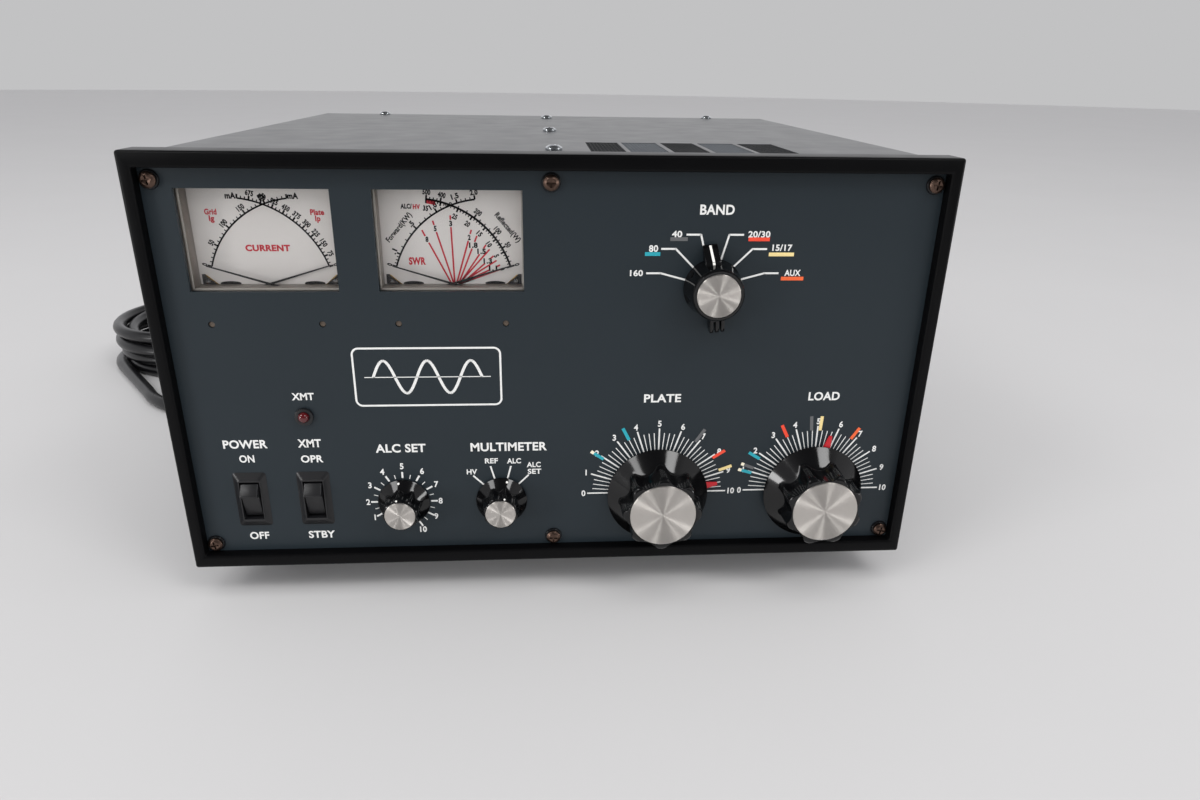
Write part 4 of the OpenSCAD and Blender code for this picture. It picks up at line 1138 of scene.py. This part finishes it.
    def nameplate(self, ink: Ink) -> None:
        """A round-cornered outline around a plain wave."""
        x0, x1, z0, z1 = self.plate
        w = self.plate_line
        left, right, foot, head = (p + self.plate_corner * out for p, out in zip(self.plate, (1, -1, 1, -1)))
        for z in (z0, z1):
            ink.line((left, z), (right, z), w)
        for x in (x0, x1):
            ink.line((x, foot), (x, head), w)
        for k, corner in enumerate(((right, head), (left, head), (left, foot), (right, foot))):
            ink.arc(corner, self.plate_corner, 90 * k, 90 * (k + 1), w)
        x, z = (x0 + x1) / 2, (z0 + z1) / 2
        wave = []
        for k in range(self.wave_steps + 1):
            share = k / self.wave_steps
            up = self.wave_height * math.sin(2 * math.pi * self.wave_periods * share)
            wave.append((x + self.wave_half * (2 * share - 1), z + up))
        for a, b in zip(wave, wave[1:]):
            ink.line(a, b, self.wave_line)
        ink.line((x - self.axis_half, z), (x + self.axis_half, z), self.axis_line)

    def tape(self) -> None:
        """Strips of tape that mark the usual settings."""
        tapes = (TAPE_TEAL, TAPE_RED, TAPE_ORANGE, TAPE_CREAM, TAPE_PALE, TAPE_GREY)
        films = {f: Ink(PANEL_Y - TAPE_GAP) for f in tapes}
        for place, strips in self.strips:
            for unit, finish, near, far in strips:
                films[finish].ray(place, -90 + 18 * unit, near, far, self.strip_w)
        for finish, x, z, w in self.band_strips:
            films[finish].line((x - w / 2, z), (x + w / 2, z), self.band_strip_w)
        for finish, film in films.items():
            film.piece(finish.name.replace("vinyl_tape", "setting_tape"), finish)

    def build(self) -> None:
        """Makes the white print and the tape."""
        ink = Ink(PANEL_Y - PRINT_GAP)
        for text, x0, x1, z0, z1 in self.labels:
            ink.label(text, x0, x1, z0, z1)
        self.scales(ink)
        self.small_scales(ink)
        self.nameplate(ink)
        ink.piece("panel_lettering", INK_WHITE)
        self.tape()


# --- Meters ------------------------------------------------------------------


@dataclass
class Meters:
    """Two cross-needle meters: printed scale plates, case walls, clear windows and needles."""

    pivot_dx: float = 15.5
    pivot_z: float = 151.8
    arc_r: float = 43.2
    low: float = 17.2
    sweep: float = 66.4
    dial_y: float = -153.5
    window: tuple[float, float, float, float] = (64.0, 44.5, 178.2, -162.2)
    ratios: tuple[tuple[str, float, float, float, float], ...] = (
        ("8", -59.7, 181.1, -47.8, 156.8), ("5", -54.7, 185.3, -46.8, 157.0),
        ("3", -46.8, 187.7, -46.3, 157.3), ("2", -37.7, 181.3, -45.1, 157.6),
        ("1.8", -35.3, 178.6, -44.2, 157.3), ("1.5", -31.4, 174.5, -43.9, 156.8),
        ("", -29.8, 172.5, -43.4, 157.6), ("1.3", -28.1, 169.5, -42.9, 156.8),
        ("", -26.8, 167.4, -42.9, 157.3), ("1.1", -25.3, 165.3, -42.5, 157.2),
        ("", -24.3, 163.6, -44.5, 156.3),
    )
    gap: float = 0.05
    edge: float = 0.2
    rim_depth: float = 0.9
    bracket_out: float = 27.0
    bracket_up: float = 1.6
    bracket_outline: tuple[Pair, ...] = ((-3.6, -1.6), (3.6, -1.6), (3.6, 3.6), (2.2, 3.6))
    slant: float = 48.5
    slot_out: float = 18.6
    slot_up: float = 0.9

    def spot(self, x: float, side: int, share: float, r: float) -> tuple[Pair, float]:
        """A place on a scale.

        Args:
            x: the meter's middle.
            side: 1 for the scale on the right, -1 for the left one.
            share: 0 at its foot, 1 at its top.
            r: distance from the needle's pivot.

        Returns:
            The (x, z) point and the text's angle there.
        """
        a = self.low + self.sweep * share
        centre = x - side * self.pivot_dx
        point = (centre + side * r * math.cos(math.radians(a)), self.pivot_z + r * math.sin(math.radians(a)))
        return point, (a - 90 if side > 0 else 90 - a)

    def scale(
        self,
        ink: Ink,
        x: float,
        side: int,
        marks: tuple[tuple[str, float], ...],
        minors: int,
        inward: bool = False,
    ) -> None:
        """The ticks and figures of a scale, outside its arc or inside it.

        Args:
            ink: the film it is printed in.
            x: the meter's middle.
            side: 1 for the arc on the right, -1 for the left one.
            marks: each figure with its share of the arc.
            minors: small ticks between two figures.
            inward: whether they stand inside the arc.
        """
        out = -1 if inward else 1
        for k, (text, share) in enumerate(marks):
            self.tick(ink, x, side, share, 1.8 * out, 0.8)
            place, angle = self.spot(x, side, share, self.arc_r + (-4.0 if inward else 3.1))
            if text:
                ink.word(text, place, 2.2, len(text) * 1.15, angle, 0.05)
            if k + 1 < len(marks):
                step = (marks[k + 1][1] - share) / (minors + 1)
                for n in range(1, minors + 1):
                    self.tick(ink, x, side, share + n * step, 1.2 * out, 0.48)

    def tick(self, ink: Ink, x: float, side: int, share: float, length: float, width: float) -> None:
        """One tick, outwards from the arc or, with a length below zero, inwards."""
        ink.line(
            self.spot(x, side, share, self.arc_r)[0], self.spot(x, side, share, self.arc_r + length)[0], width
        )

    def arc(
        self,
        ink: Ink,
        x: float,
        side: int,
        width: float,
        start: float = 0.0,
        end: float = 1.0,
        inset: float = 0.0,
    ) -> None:
        """The arc of a scale, between two shares of it and a little inside it with an inset."""
        centre = (x - side * self.pivot_dx, self.pivot_z)
        a, b = (self.low + self.sweep * share for share in (start, end))
        if side < 0:
            a, b = 180 - a, 180 - b
        ink.arc(centre, self.arc_r - inset, a, b, width)

    def current_print(self, black: Ink, red: Ink) -> None:
        """The left meter: grid current and plate current."""
        x = METER_X[0]
        for side in (-1, 1):
            self.arc(black, x, side, 0.75)
            black.word("mA", (x + side * 13.3, 195.8), 2.5, 4.6, 0, 0.05)
        self.scale(black, x, -1, tuple((str(50 * k) if k < 5 else "", k / 5) for k in range(6)), 4)
        self.scale(black, x, 1, tuple((str(75 * k) if k < 10 else "", k / 10) for k in range(11)), 2)
        for text, place, width in (
            ("Grid", (-150.5, 188.8), 5.2), ("Ig", (-150.4, 185.6), 2.3),
            ("Plate", (-104.8, 188.8), 6.0), ("Ip", (-104.8, 185.7), 2.3),
        ):
            red.word(text, place, 2.4, width, 0, 0.04)
        red.word("CURRENT", (x - 0.3, 172.9), 2.7, 19.5, 0, 0.05)

    def power_print(self, black: Ink, red: Ink) -> None:
        """The right meter: forward and reflected power, with its fan of ratio lines."""
        x = METER_X[1]
        left = (("0", 0.0), (".1", 0.12), (".5", 0.4), ("1.0", 0.64), ("1.5", 0.84), ("2.0", 1.0))
        right = (("0", 0.0), ("50", 0.185), ("100", 0.33), ("200", 0.55), ("400", 0.875), ("500", 1.0))
        inner = (
            ("0", 0.0), ("5", 0.145), ("10", 0.28), ("15", 0.42), ("20", 0.57), ("25", 0.71), ("", 0.87),
            ("35", 1.0),
        )
        self.arc(black, x, -1, 0.8)
        self.arc(black, x, 1, 0.95)
        self.arc(red, x, 1, 1.5, 0.915, 1.0, 1.15)
        self.scale(black, x, -1, left, 3)
        self.scale(black, x, 1, right, 3)
        self.scale(black, x, 1, inner, 4, inward=True)
        black.word("Forward(KW)", (-69.6, 182.1), 2.4, 16.4, 48.4, 0.035)
        black.word("Reflected(W)", (-21.5, 182.2), 2.4, 16.0, -50.6, 0.035)
        black.word("ALC/", (-65.9, 191.6), 2.0, 5.0, 0, 0.05)
        red.word("HV", (-61.4, 191.4), 2.0, 3.2, 0, 0.05)
        for text, hx, hz, fx, fz in self.ratios:
            head, foot = Vector((hx, hz)), Vector((fx, fz))
            way = (head - foot).normalized()
            if not text:
                red.line(foot, head, 0.75)
                continue
            middle = head - way * (4.6 if text in "1.8" else 3.6)
            red.line(foot, middle - way * 1.6, 0.75)
            red.line(middle + way * 1.6, head, 0.75)
            black.word(text, middle, 2.3, 1.3 * len(text), 0, 0.05)
        red.line((-44.6, 156.6), (-37.6, 159.2), 1.5)
        red.word("SWR", (-62.6, 167.1), 3.2, 7.6, 0, 0.05)

    def lining(
        self,
        name: str,
        finish: Finish,
        near: float,
        far: float,
        side: Pair,
        foot: Pair,
        tall: Pair,
    ) -> None:
        """A moulded lining at the sides and the foot of both windows.

        Args:
            name: the piece's name.
            finish: its surface.
            near: depth of its front.
            far: depth of its back.
            side: how far its side bars start and end past the window's edge.
            foot: how far its foot bar starts and ends above the window's lower edge.
            tall: how far its side bars start below the window and end above it.
        """
        w, h, z, _ = self.window
        low, high = z - h / 2, z + h / 2
        made = Shape()
        for x in METER_X:
            for out in (-1, 1):
                a, b = sorted(x + out * (w / 2 + past) for past in side)
                made.join(block((a, near, low - tall[0]), (b, far, high + tall[1]), self.edge))
            made.join(block((x - w / 2, near, low + foot[0]), (x + w / 2, far, low + foot[1]), self.edge))
        made.piece(name, Body.CABINET, finish)

    def brackets(self) -> None:
        """Brackets in the plates' lower corners, with bright edges and screws, and black discs between them
        as painted shade in the plate's slot openings.
        """
        foot = self.window[2] - self.window[1] / 2
        plates, wires, heads, slot_shades = Shape(), Shape(), Shape(), Shape()
        lean = Matrix.Rotation(-math.radians(self.slant), 4, "Z")
        for x in METER_X:
            for side in (-1, 1):
                corner = (x + side * self.bracket_out, foot + self.bracket_up)
                plate = prism(list(self.bracket_outline), 0.5, 0.12)
                wire = block((-0.16, 0, 0), (0.16, 7.3, 0.3))
                wire.moved(Matrix.Translation((-3.7, -1.5, 0.5)) @ lean)
                for part, group in ((plate, plates), (wire, wires)):
                    if side < 0:
                        part.moved(Matrix.Scale(-1, 4, (1, 0, 0)))
                    group.join(part.moved(front_frame(corner, self.dial_y - 2 * self.gap)))
                head = lathe([(0, 0), (1.1, 0), (1.1, 0.5), (0.7, 0.9), (0, 1.0)], 24)
                screw = (corner[0] + side * 1.1, corner[1] + 0.4)
                heads.join(head.moved(front_frame(screw, self.dial_y - 0.5)))
                # A flat black disc in each slot of the scale plate: painted shade of the opening.
                oval = lathe([(0, 0), (1, 0), (1, 0.15), (0, 0.15)], 32)
                oval.moved(Matrix.Diagonal((4.6, 1.0, 1, 1)))
                slot = (x + side * self.slot_out, foot + self.slot_up)
                slot_shades.join(oval.moved(front_frame(slot, self.dial_y)))
        plates.piece("scale_brackets", Body.CABINET, METER_CASE)
        wires.piece("scale_bracket_edges", Body.CABINET, BRASS)
        heads.piece("scale_screws", Body.CABINET, SCREW_ZINC)
        slot_shades.piece("scale_slots", Body.CABINET, NEEDLE_BLACK_AND_SLOT_SHADE)

    def build(self) -> None:
        """Prints the scale plates and dresses the rest."""
        front, face = self.window[3], self.dial_y - self.gap
        step = front + self.rim_depth
        black, red = Ink(face), Ink(face)
        self.current_print(black, red)
        self.power_print(black, red)
        black.piece("scale_print_black", INK_BLACK)
        red.piece("scale_print_red", INK_RED)
        # The window rims carry a painted highlight: the pale colour stands in for light gathered in the clear
        # edge.
        self.lining("window_rims", PANE_EDGE_HIGHLIGHT, front + self.gap, step, (0.2, -0.7), (-0.2, 0.8), (0, 0))
        # The window walls carry a painted reflection: an opaque brownish grey with streaks for the clear
        # moulding seen at a low angle.
        self.lining("window_walls", PANE_WALL_REFLECTION, step, face, (-0.4, 1.6), (-2, 0.6), (2, 2))
        self.brackets()
        paint("meter_dials", METER_FACE)
        paint("meter_cases", METER_CASE)
        paint("meter_windows", METER_PANE)
        for name in ("grid_needle", "plate_needle", "forward_needle", "reflected_needle"):
            paint(name, NEEDLE_BLACK_AND_SLOT_SHADE)


# --- Switches and lamp ---------------------------------------------------------


@dataclass
class Switches:
    """Two rocker switches and the transmit lamp above them."""

    rockers: tuple[tuple[str, Body], ...] = (("power_rocker", Body.POWER), ("standby_rocker", Body.STANDBY))
    lamp: Pair = (-117.8, 96.5)
    lens_r: float = 2.45
    lens_l: float = 8.2
    lens_crown: float = 1.7
    lens_depth: float = 6.0
    frame_edge: float = 0.25
    frame_face: float = 0.6
    frame_rim: float = 1.8
    frame_slope: Triple = (2.56, 0.0, 3.2)
    rocker_x: Pair = (-147.4, -117.6)
    rocker_w: float = 8.4
    pivot: Pair = (-163.5, 53.0)
    pin_r: float = 1.4
    pin_out: float = 1.3
    rocker_side: tuple[Pair, ...] = (
        (4.2, 9.2), (8.0, 4.4), (8.0, 3.3), (5.6, 2.9), (2.8, -8.7), (-4.5, -6.2), (-4.5, 6.0),
    )

    def rocker(self, x: float) -> Shape:
        """A rocker with a ledge across its upper half, on its pin."""
        half, r = self.rocker_w / 2, self.pin_r
        end = half + self.pin_out
        made = prism(list(self.rocker_side), self.rocker_w, 0.4).moved(Matrix.Translation((0, 0, -half)))
        pin = lathe([(0, -end), (r, -end), (r, end), (0, end)], 24)
        y, z = self.pivot
        return made.join(pin).moved(Matrix(((0, 0, 1, x), (-1, 0, 0, y), (0, 1, 0, z), (0, 0, 0, 1))))

    def frames(self) -> None:
        """The switch bodies, their frames sloping in from the panel to the rocker."""
        made = softened("switch_bodies", self.frame_edge, 2)
        front = min(v.co.y for v in made.bm.verts)
        face = [v for v in made.bm.verts if v.co.y < front + self.frame_face]
        between = sum(self.rocker_x) / 2
        for right in (False, True):
            self.draw_in([v for v in face if (v.co.x > between) is right])
        made.piece("switch_frames", Body.CABINET, SWITCH_NYLON, ("switch_bodies",))

    def draw_in(self, face: list[bmesh.types.BMVert]) -> None:
        """Draws in the outer rim of one frame's face."""
        for axis in (0, 2):
            reach = [v.co[axis] for v in face]
            middle, half = (min(reach) + max(reach)) / 2, (max(reach) - min(reach)) / 2
            for v in face:
                off = v.co[axis] - middle
                if abs(off) > half - self.frame_rim:
                    v.co[axis] -= math.copysign(self.frame_slope[axis], off)

    def build(self) -> None:
        """Makes frames, rockers and lamp."""
        self.frames()
        for (name, body), x in zip(self.rockers, self.rocker_x):
            self.rocker(x).piece(name + "_moulding", body, SWITCH_NYLON, (name,), sharp=50)
        softened("lamp_holder", 0.25).piece("lamp_collar", Body.CABINET, SWITCH_NYLON, ("lamp_holder",))
        r, tall, crown = self.lens_r, self.lens_l, self.lens_crown
        dome = [(0, 0), (r, 0), (r, tall)]
        dome += [(r * math.cos(a), tall + crown * math.sin(a)) for a in (0.3, 0.6, 0.9, 1.2, 1.4)]
        lens = lathe([*dome, (0, tall + crown)], 48).moved(front_frame(self.lamp, PANEL_Y + self.lens_depth))
        lens.piece("lamp_dome", Body.CABINET, LAMP_RED, ("lamp_lens",), sharp=60)


# --- Knobs and pointers ----------------------------------------------------------


@dataclass
class FlutedKnob:
    """A turned and fluted knob with a spun metal cap in its nose."""

    name: str
    body: Body
    place: Pair
    foot_y: float
    skirt_r: float
    nose_r: float
    height: float
    cap_r: float
    flute_r: float
    turn: float
    shaft_r: float
    shaft_l: float
    hollow_r: float
    hollow_d: float
    flutes: int = 8
    steps: int = 256
    dots: bool = False
    slope: float = 1.1
    rim: float = 0.055
    blend: float = 0.5

    def profile(self) -> list[Pair]:
        """The half section, from the cap's seat down the body and the sloping skirt to the shaft."""
        h, rim, nose = self.height, self.height * self.rim, self.nose_r
        meet = rim + (self.skirt_r - nose - 0.4) / self.slope
        crest = rim + (self.skirt_r - self.cap_r) / self.slope
        body = [h - 2.2 - (h - 2.2 - crest) * k / 8 for k in range(8)]
        body += [crest - (crest - meet) * k / 16 for k in range(17)]
        skirt = [rim + (meet - rim) * (1 - k / 12) for k in range(1, 13)]
        seat = self.cap_r + 0.05
        return [
            (0, h - 0.9), (seat, h - 0.9), (seat, h - 0.55), (seat + 0.2, h - 0.4), (nose - 2.4, h - 0.42),
            (nose - 1.5, h - 0.55), (nose - 0.8, h - 0.85), (nose - 0.3, h - 1.35),
            *[(nose + 0.4 * (1 - z / h), z) for z in body], *[(self.skirt_at(z), z) for z in skirt],
            (self.skirt_r, 0.5), (self.skirt_r - 0.4, 0), (self.hollow_r, 0), (self.hollow_r, self.hollow_d),
            (self.shaft_r, self.hollow_d), (self.shaft_r, -self.shaft_l), (0, -self.shaft_l),
        ]

    def skirt_at(self, z: float) -> float:
        """Reach of the sloping skirt at a height."""
        return self.skirt_r - (z - self.height * self.rim) * self.slope

    def melt(self, a: float, b: float, side: int) -> float:
        """The larger of two lengths, or with side -1 the smaller, blended where they meet."""
        return (a + b + side * math.hypot(a - b, self.blend)) / 2

    def flute(self, shape: Shape) -> None:
        """Presses the finger flutes into the body, down to the skirt."""
        reach = self.cap_r + 0.5 + self.flute_r
        rim = self.height * self.rim
        for v in shape.bm.verts:
            r = math.hypot(v.co.x, v.co.y)
            if r <= self.cap_r + 0.3 or v.co.z < rim + 0.01:
                continue
            body = min(r, self.nose_r + 0.4 * (1 - v.co.z / self.height))
            part = 2 * math.pi / self.flutes
            a = math.atan2(v.co.y, v.co.x)
            off = (a / part - 0.5 - round(a / part - 0.5)) * part
            inside = self.flute_r**2 - (reach * math.sin(off)) ** 2
            if inside > 0:
                wall = reach * math.cos(off) - math.sqrt(inside)
                body = max(self.cap_r + 0.3, self.melt(body, wall, -1))
            r_new = self.melt(body, self.skirt_at(v.co.z), 1)
            v.co.x, v.co.y = v.co.x * r_new / r, v.co.y * r_new / r

    def spots(self, knob: Shape, frame: Matrix) -> None:
        """Two white index dots, on the skirt's edge and by the cap."""
        tree = BVHTree.FromBMesh(knob.bm)
        dots = Shape()
        for r, size in ((self.skirt_r - 1.3, 0.55), (self.cap_r + 0.75, 0.45)):
            hit, normal, _, _ = tree.ray_cast(Vector((0, r, 60)), Vector((0, 0, -1)))
            if hit is None:
                continue
            dot = lathe([(0, -0.2), (size, -0.2), (size, 0.05), (0, 0.08)], 20)
            stand = normal.to_track_quat("Z", "Y").to_matrix().to_4x4()
            dots.join(dot.moved(Matrix.Translation(hit) @ stand))
        dots.moved(frame).piece(self.name + "_index_dots", self.body, KNOB_DOT)

    def build(self) -> None:
        """Makes the knob, its cap and its dots."""
        frame = front_frame(self.place, self.foot_y, self.turn)
        knob = lathe(self.profile(), self.steps)
        self.flute(knob)
        bmesh.ops.recalc_face_normals(knob.bm, faces=knob.bm.faces)
        if self.dots:
            self.spots(knob, frame)
        knob.moved(frame).piece(self.name + "_grip", self.body, PHENOLIC, (self.name + "_knob",), sharp=28)
        cap(self.name, self.body, self.cap_r, self.height, frame, self.place)


def cap(name: str, body: Body, r: float, height: float, frame: Matrix, centre: Pair) -> None:
    """The spun disc in a knob's nose, with its turned rim."""
    h = height
    profile = [
        (0, h - 0.9), (r, h - 0.9), (r, h - 0.35), (r - 0.12, h - 0.1), (r - 0.35, h), (r - 0.7, h - 0.06),
        (r - 1.0, h - 0.12), (r * 0.6, h - 0.14), (r * 0.3, h - 0.15), (0, h - 0.15),
    ]
    lathe(profile, 96).moved(frame).piece(
        name + "_cap_disc", body, spun_cap(name, centre), (name + "_cap",), sharp=60
    )


@dataclass
class BandKnob:
    """The band switch's knob: a lobed body with a long pointer bar under its metal cap."""

    foot_y: float = -167.5
    turn: float = -7.5
    body_r: float = 13.4
    height: float = 15.5
    cap_r: float = 9.7
    half: float = 20.0
    bar_w: float = 6.7
    lobes: int = 7
    flute_r: float = 4.4
    flute_out: float = 3.1
    fade: Pair = (0.9, 1.6)
    index_lines: tuple[tuple[Pair, Pair, Pair], ...] = (
        ((-4.6, 4.3), (16.75, 4.6), (6.8, 6.5)),
        ((-1.3, 1.5), (12.0, 8.41), (1.5, 5.5)),
    )

    def bar(self) -> Shape:
        """The pointer bar: sloping tip ahead, ribbed tail behind."""
        half, w = self.half, self.bar_w
        main = [(-14, 0), (half, 0), (half, 1.2), (half - 6.5, 8), (8, 9.5), (-8, 9.5), (-14, 7.5)]
        rib = [(-half, 0), (-12, 0), (-12, 8), (2 - half, 6), (-half, 4.5)]
        stand = Matrix(((0, 0, 1, 0), (1, 0, 0, 0), (0, 1, 0, 0), (0, 0, 0, 1)))
        parts = prism(main, w, 0.5).moved(Matrix.Translation((0, 0, -w / 2)))
        for low, high in ((-w / 2, -1.75), (-0.85, 0.85), (1.75, w / 2)):
            parts.join(prism(rib, high - low, 0.25).moved(Matrix.Translation((0, 0, low))))
        return parts.moved(stand)

    def profile(self) -> list[Pair]:
        """The half section of the round body, from the cap's seat to the shaft."""
        h, r, seat = self.height, self.body_r, self.cap_r + 0.05
        return [
            (0, h - 0.9), (seat, h - 0.9), (seat, h - 0.5), (seat + 0.15, h - 0.4), (r - 2.5, h - 0.4),
            (r - 1.9, h - 1.0), *[(r - 1.7 + 1.6 * k / 14, h - 1.8 - (h - 2.6) * k / 14) for k in range(15)],
            (r, 0.6), (r - 0.5, 0), (8.4, 0), (8.4, 2.6), (3.2, 2.6), (3.2, 10.5), (0, 10.5),
        ]

    def flute(self, shape: Shape) -> None:
        """Presses the flutes into the body, all but the one under the bar's tip."""
        reach, part = self.body_r + self.flute_out, 2 * math.pi / self.lobes
        start, run = self.fade
        for v in shape.bm.verts:
            d = math.hypot(v.co.x, v.co.y)
            if d <= self.cap_r + 0.06 or v.co.z < start:
                continue
            a = math.atan2(v.co.y, v.co.x) - math.pi / 2
            near = round(a / part)
            off = a - near * part
            inside = self.flute_r**2 - (reach * math.sin(off)) ** 2
            if near % self.lobes == 0 or inside <= 0:
                continue
            wall = reach * math.cos(off) - math.sqrt(inside)
            if wall < d:
                new = d + (wall - d) * min(1.0, max(0.0, (v.co.z - start) / run))
                v.co.x, v.co.y = v.co.x * new / d, v.co.y * new / d

    def index(self) -> Shape:
        """The white line down the tip of the bar, in two stretches."""
        made = Shape()
        for (near, far), (out, up), (fall, run) in self.index_lines:
            lean = Matrix.Rotation(-math.atan2(fall, run), 4, "X")
            line = block((-0.55, near, -0.05), (0.55, far, 0.07), 0.03)
            made.join(line.moved(Matrix.Translation((0, out, up)) @ lean))
        return made

    def build(self) -> None:
        """Makes knob, index line and cap."""
        frame = front_frame(BAND_PLACE, self.foot_y, self.turn)
        knob = lathe(self.profile(), 252)
        self.flute(knob)
        self.index().moved(frame).piece("band_index_line", Body.BAND, KNOB_DOT)
        knob.join(self.bar())
        knob.moved(frame).piece("band_grip", Body.BAND, PHENOLIC, ("band_knob",), sharp=32)
        cap("band", Body.BAND, self.cap_r, self.height, frame, BAND_PLACE)


@dataclass
class Controls:
    """All knobs and the red pointers of the tuning drives."""

    knobs: list[FlutedKnob] = field(default_factory=list)

    def __post_init__(self) -> None:
        """Lists the four fluted knobs."""
        dial = dict(foot_y=-168.5, skirt_r=25, nose_r=19.2, height=21.5, cap_r=15.75, flute_r=9,
                    shaft_r=3.175, shaft_l=17, hollow_r=17, hollow_d=3.9)
        small = dict(foot_y=-166.6, skirt_r=12.5, nose_r=8.7, height=14.5, cap_r=7.2, flute_r=4.6,
                     shaft_r=3, shaft_l=13, hollow_r=8.5, hollow_d=2.7, dots=True, steps=192)
        self.knobs = [
            FlutedKnob("plate", Body.PLATE, PLATE_PLACE, turn=0, **dial),
            FlutedKnob("load", Body.LOAD, LOAD_PLACE, turn=20, **dial),
            FlutedKnob("alc", Body.ALC, ALC_PLACE, turn=-9, **small),
            FlutedKnob("multimeter", Body.MULTIMETER, MULTI_PLACE, turn=15, **small),
        ]

    def build(self) -> None:
        """Makes the knobs and the pointers."""
        for knob in self.knobs:
            knob.build()
        BandKnob().build()
        for name, body in (("plate_pointer", Body.PLATE_TUNING), ("load_pointer", Body.LOAD_TUNING)):
            softened(name, 0.15).piece(name + "_blade", body, POINTER_RED, (name,))


# --- Back and inside ---------------------------------------------------------------


@dataclass
class Works:
    """Sockets and fittings at the back, and everything inside the case."""

    finishes: tuple[tuple[str, Finish], ...] = (
        ("rear_sockets", NICKEL), ("rear_fittings", FAN_PLASTIC), ("fan_housing", FAN_PLASTIC),
        ("fan_rotor", FAN_PLASTIC), ("transformer_core", CORE_IRON), ("transformer_winding", WINDING_WIRE),
        ("filter_capacitors", CAPACITOR_SLEEVE), ("circuit_boards", BOARD_RESIN), ("tube_socket", CERAMIC),
        ("tube_glass", TUBE_GLASS), ("tube_anode", GRAPHITE), ("tank_coils", COPPER),
        ("plate_rotor", ALUMINIUM), ("load_rotor", ALUMINIUM), ("tuning_drives", BRASS),
        ("tuning_stators", ALUMINIUM), ("band_switch", CERAMIC), ("band_rotor", NICKEL),
        ("panel_controls", NICKEL),
    )

    def build(self) -> None:
        """Gives each its finish."""
        for name, finish in self.finishes:
            paint(name, finish)


def main() -> None:
    """Loads the frame and builds the looks around it."""
    logging.basicConfig(level=logging.INFO, format="%(name)s %(message)s")
    for thing in list(bpy.data.objects):
        bpy.data.objects.remove(thing)
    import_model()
    Studio().build()
    MainsLead().build()
    Case().build()
    FrontPrint().build()
    Meters().build()
    Switches().build()
    Controls().build()
    Works().build()
    bpy.context.view_layer.update()
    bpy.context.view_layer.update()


if __name__ == "__main__":
    main()
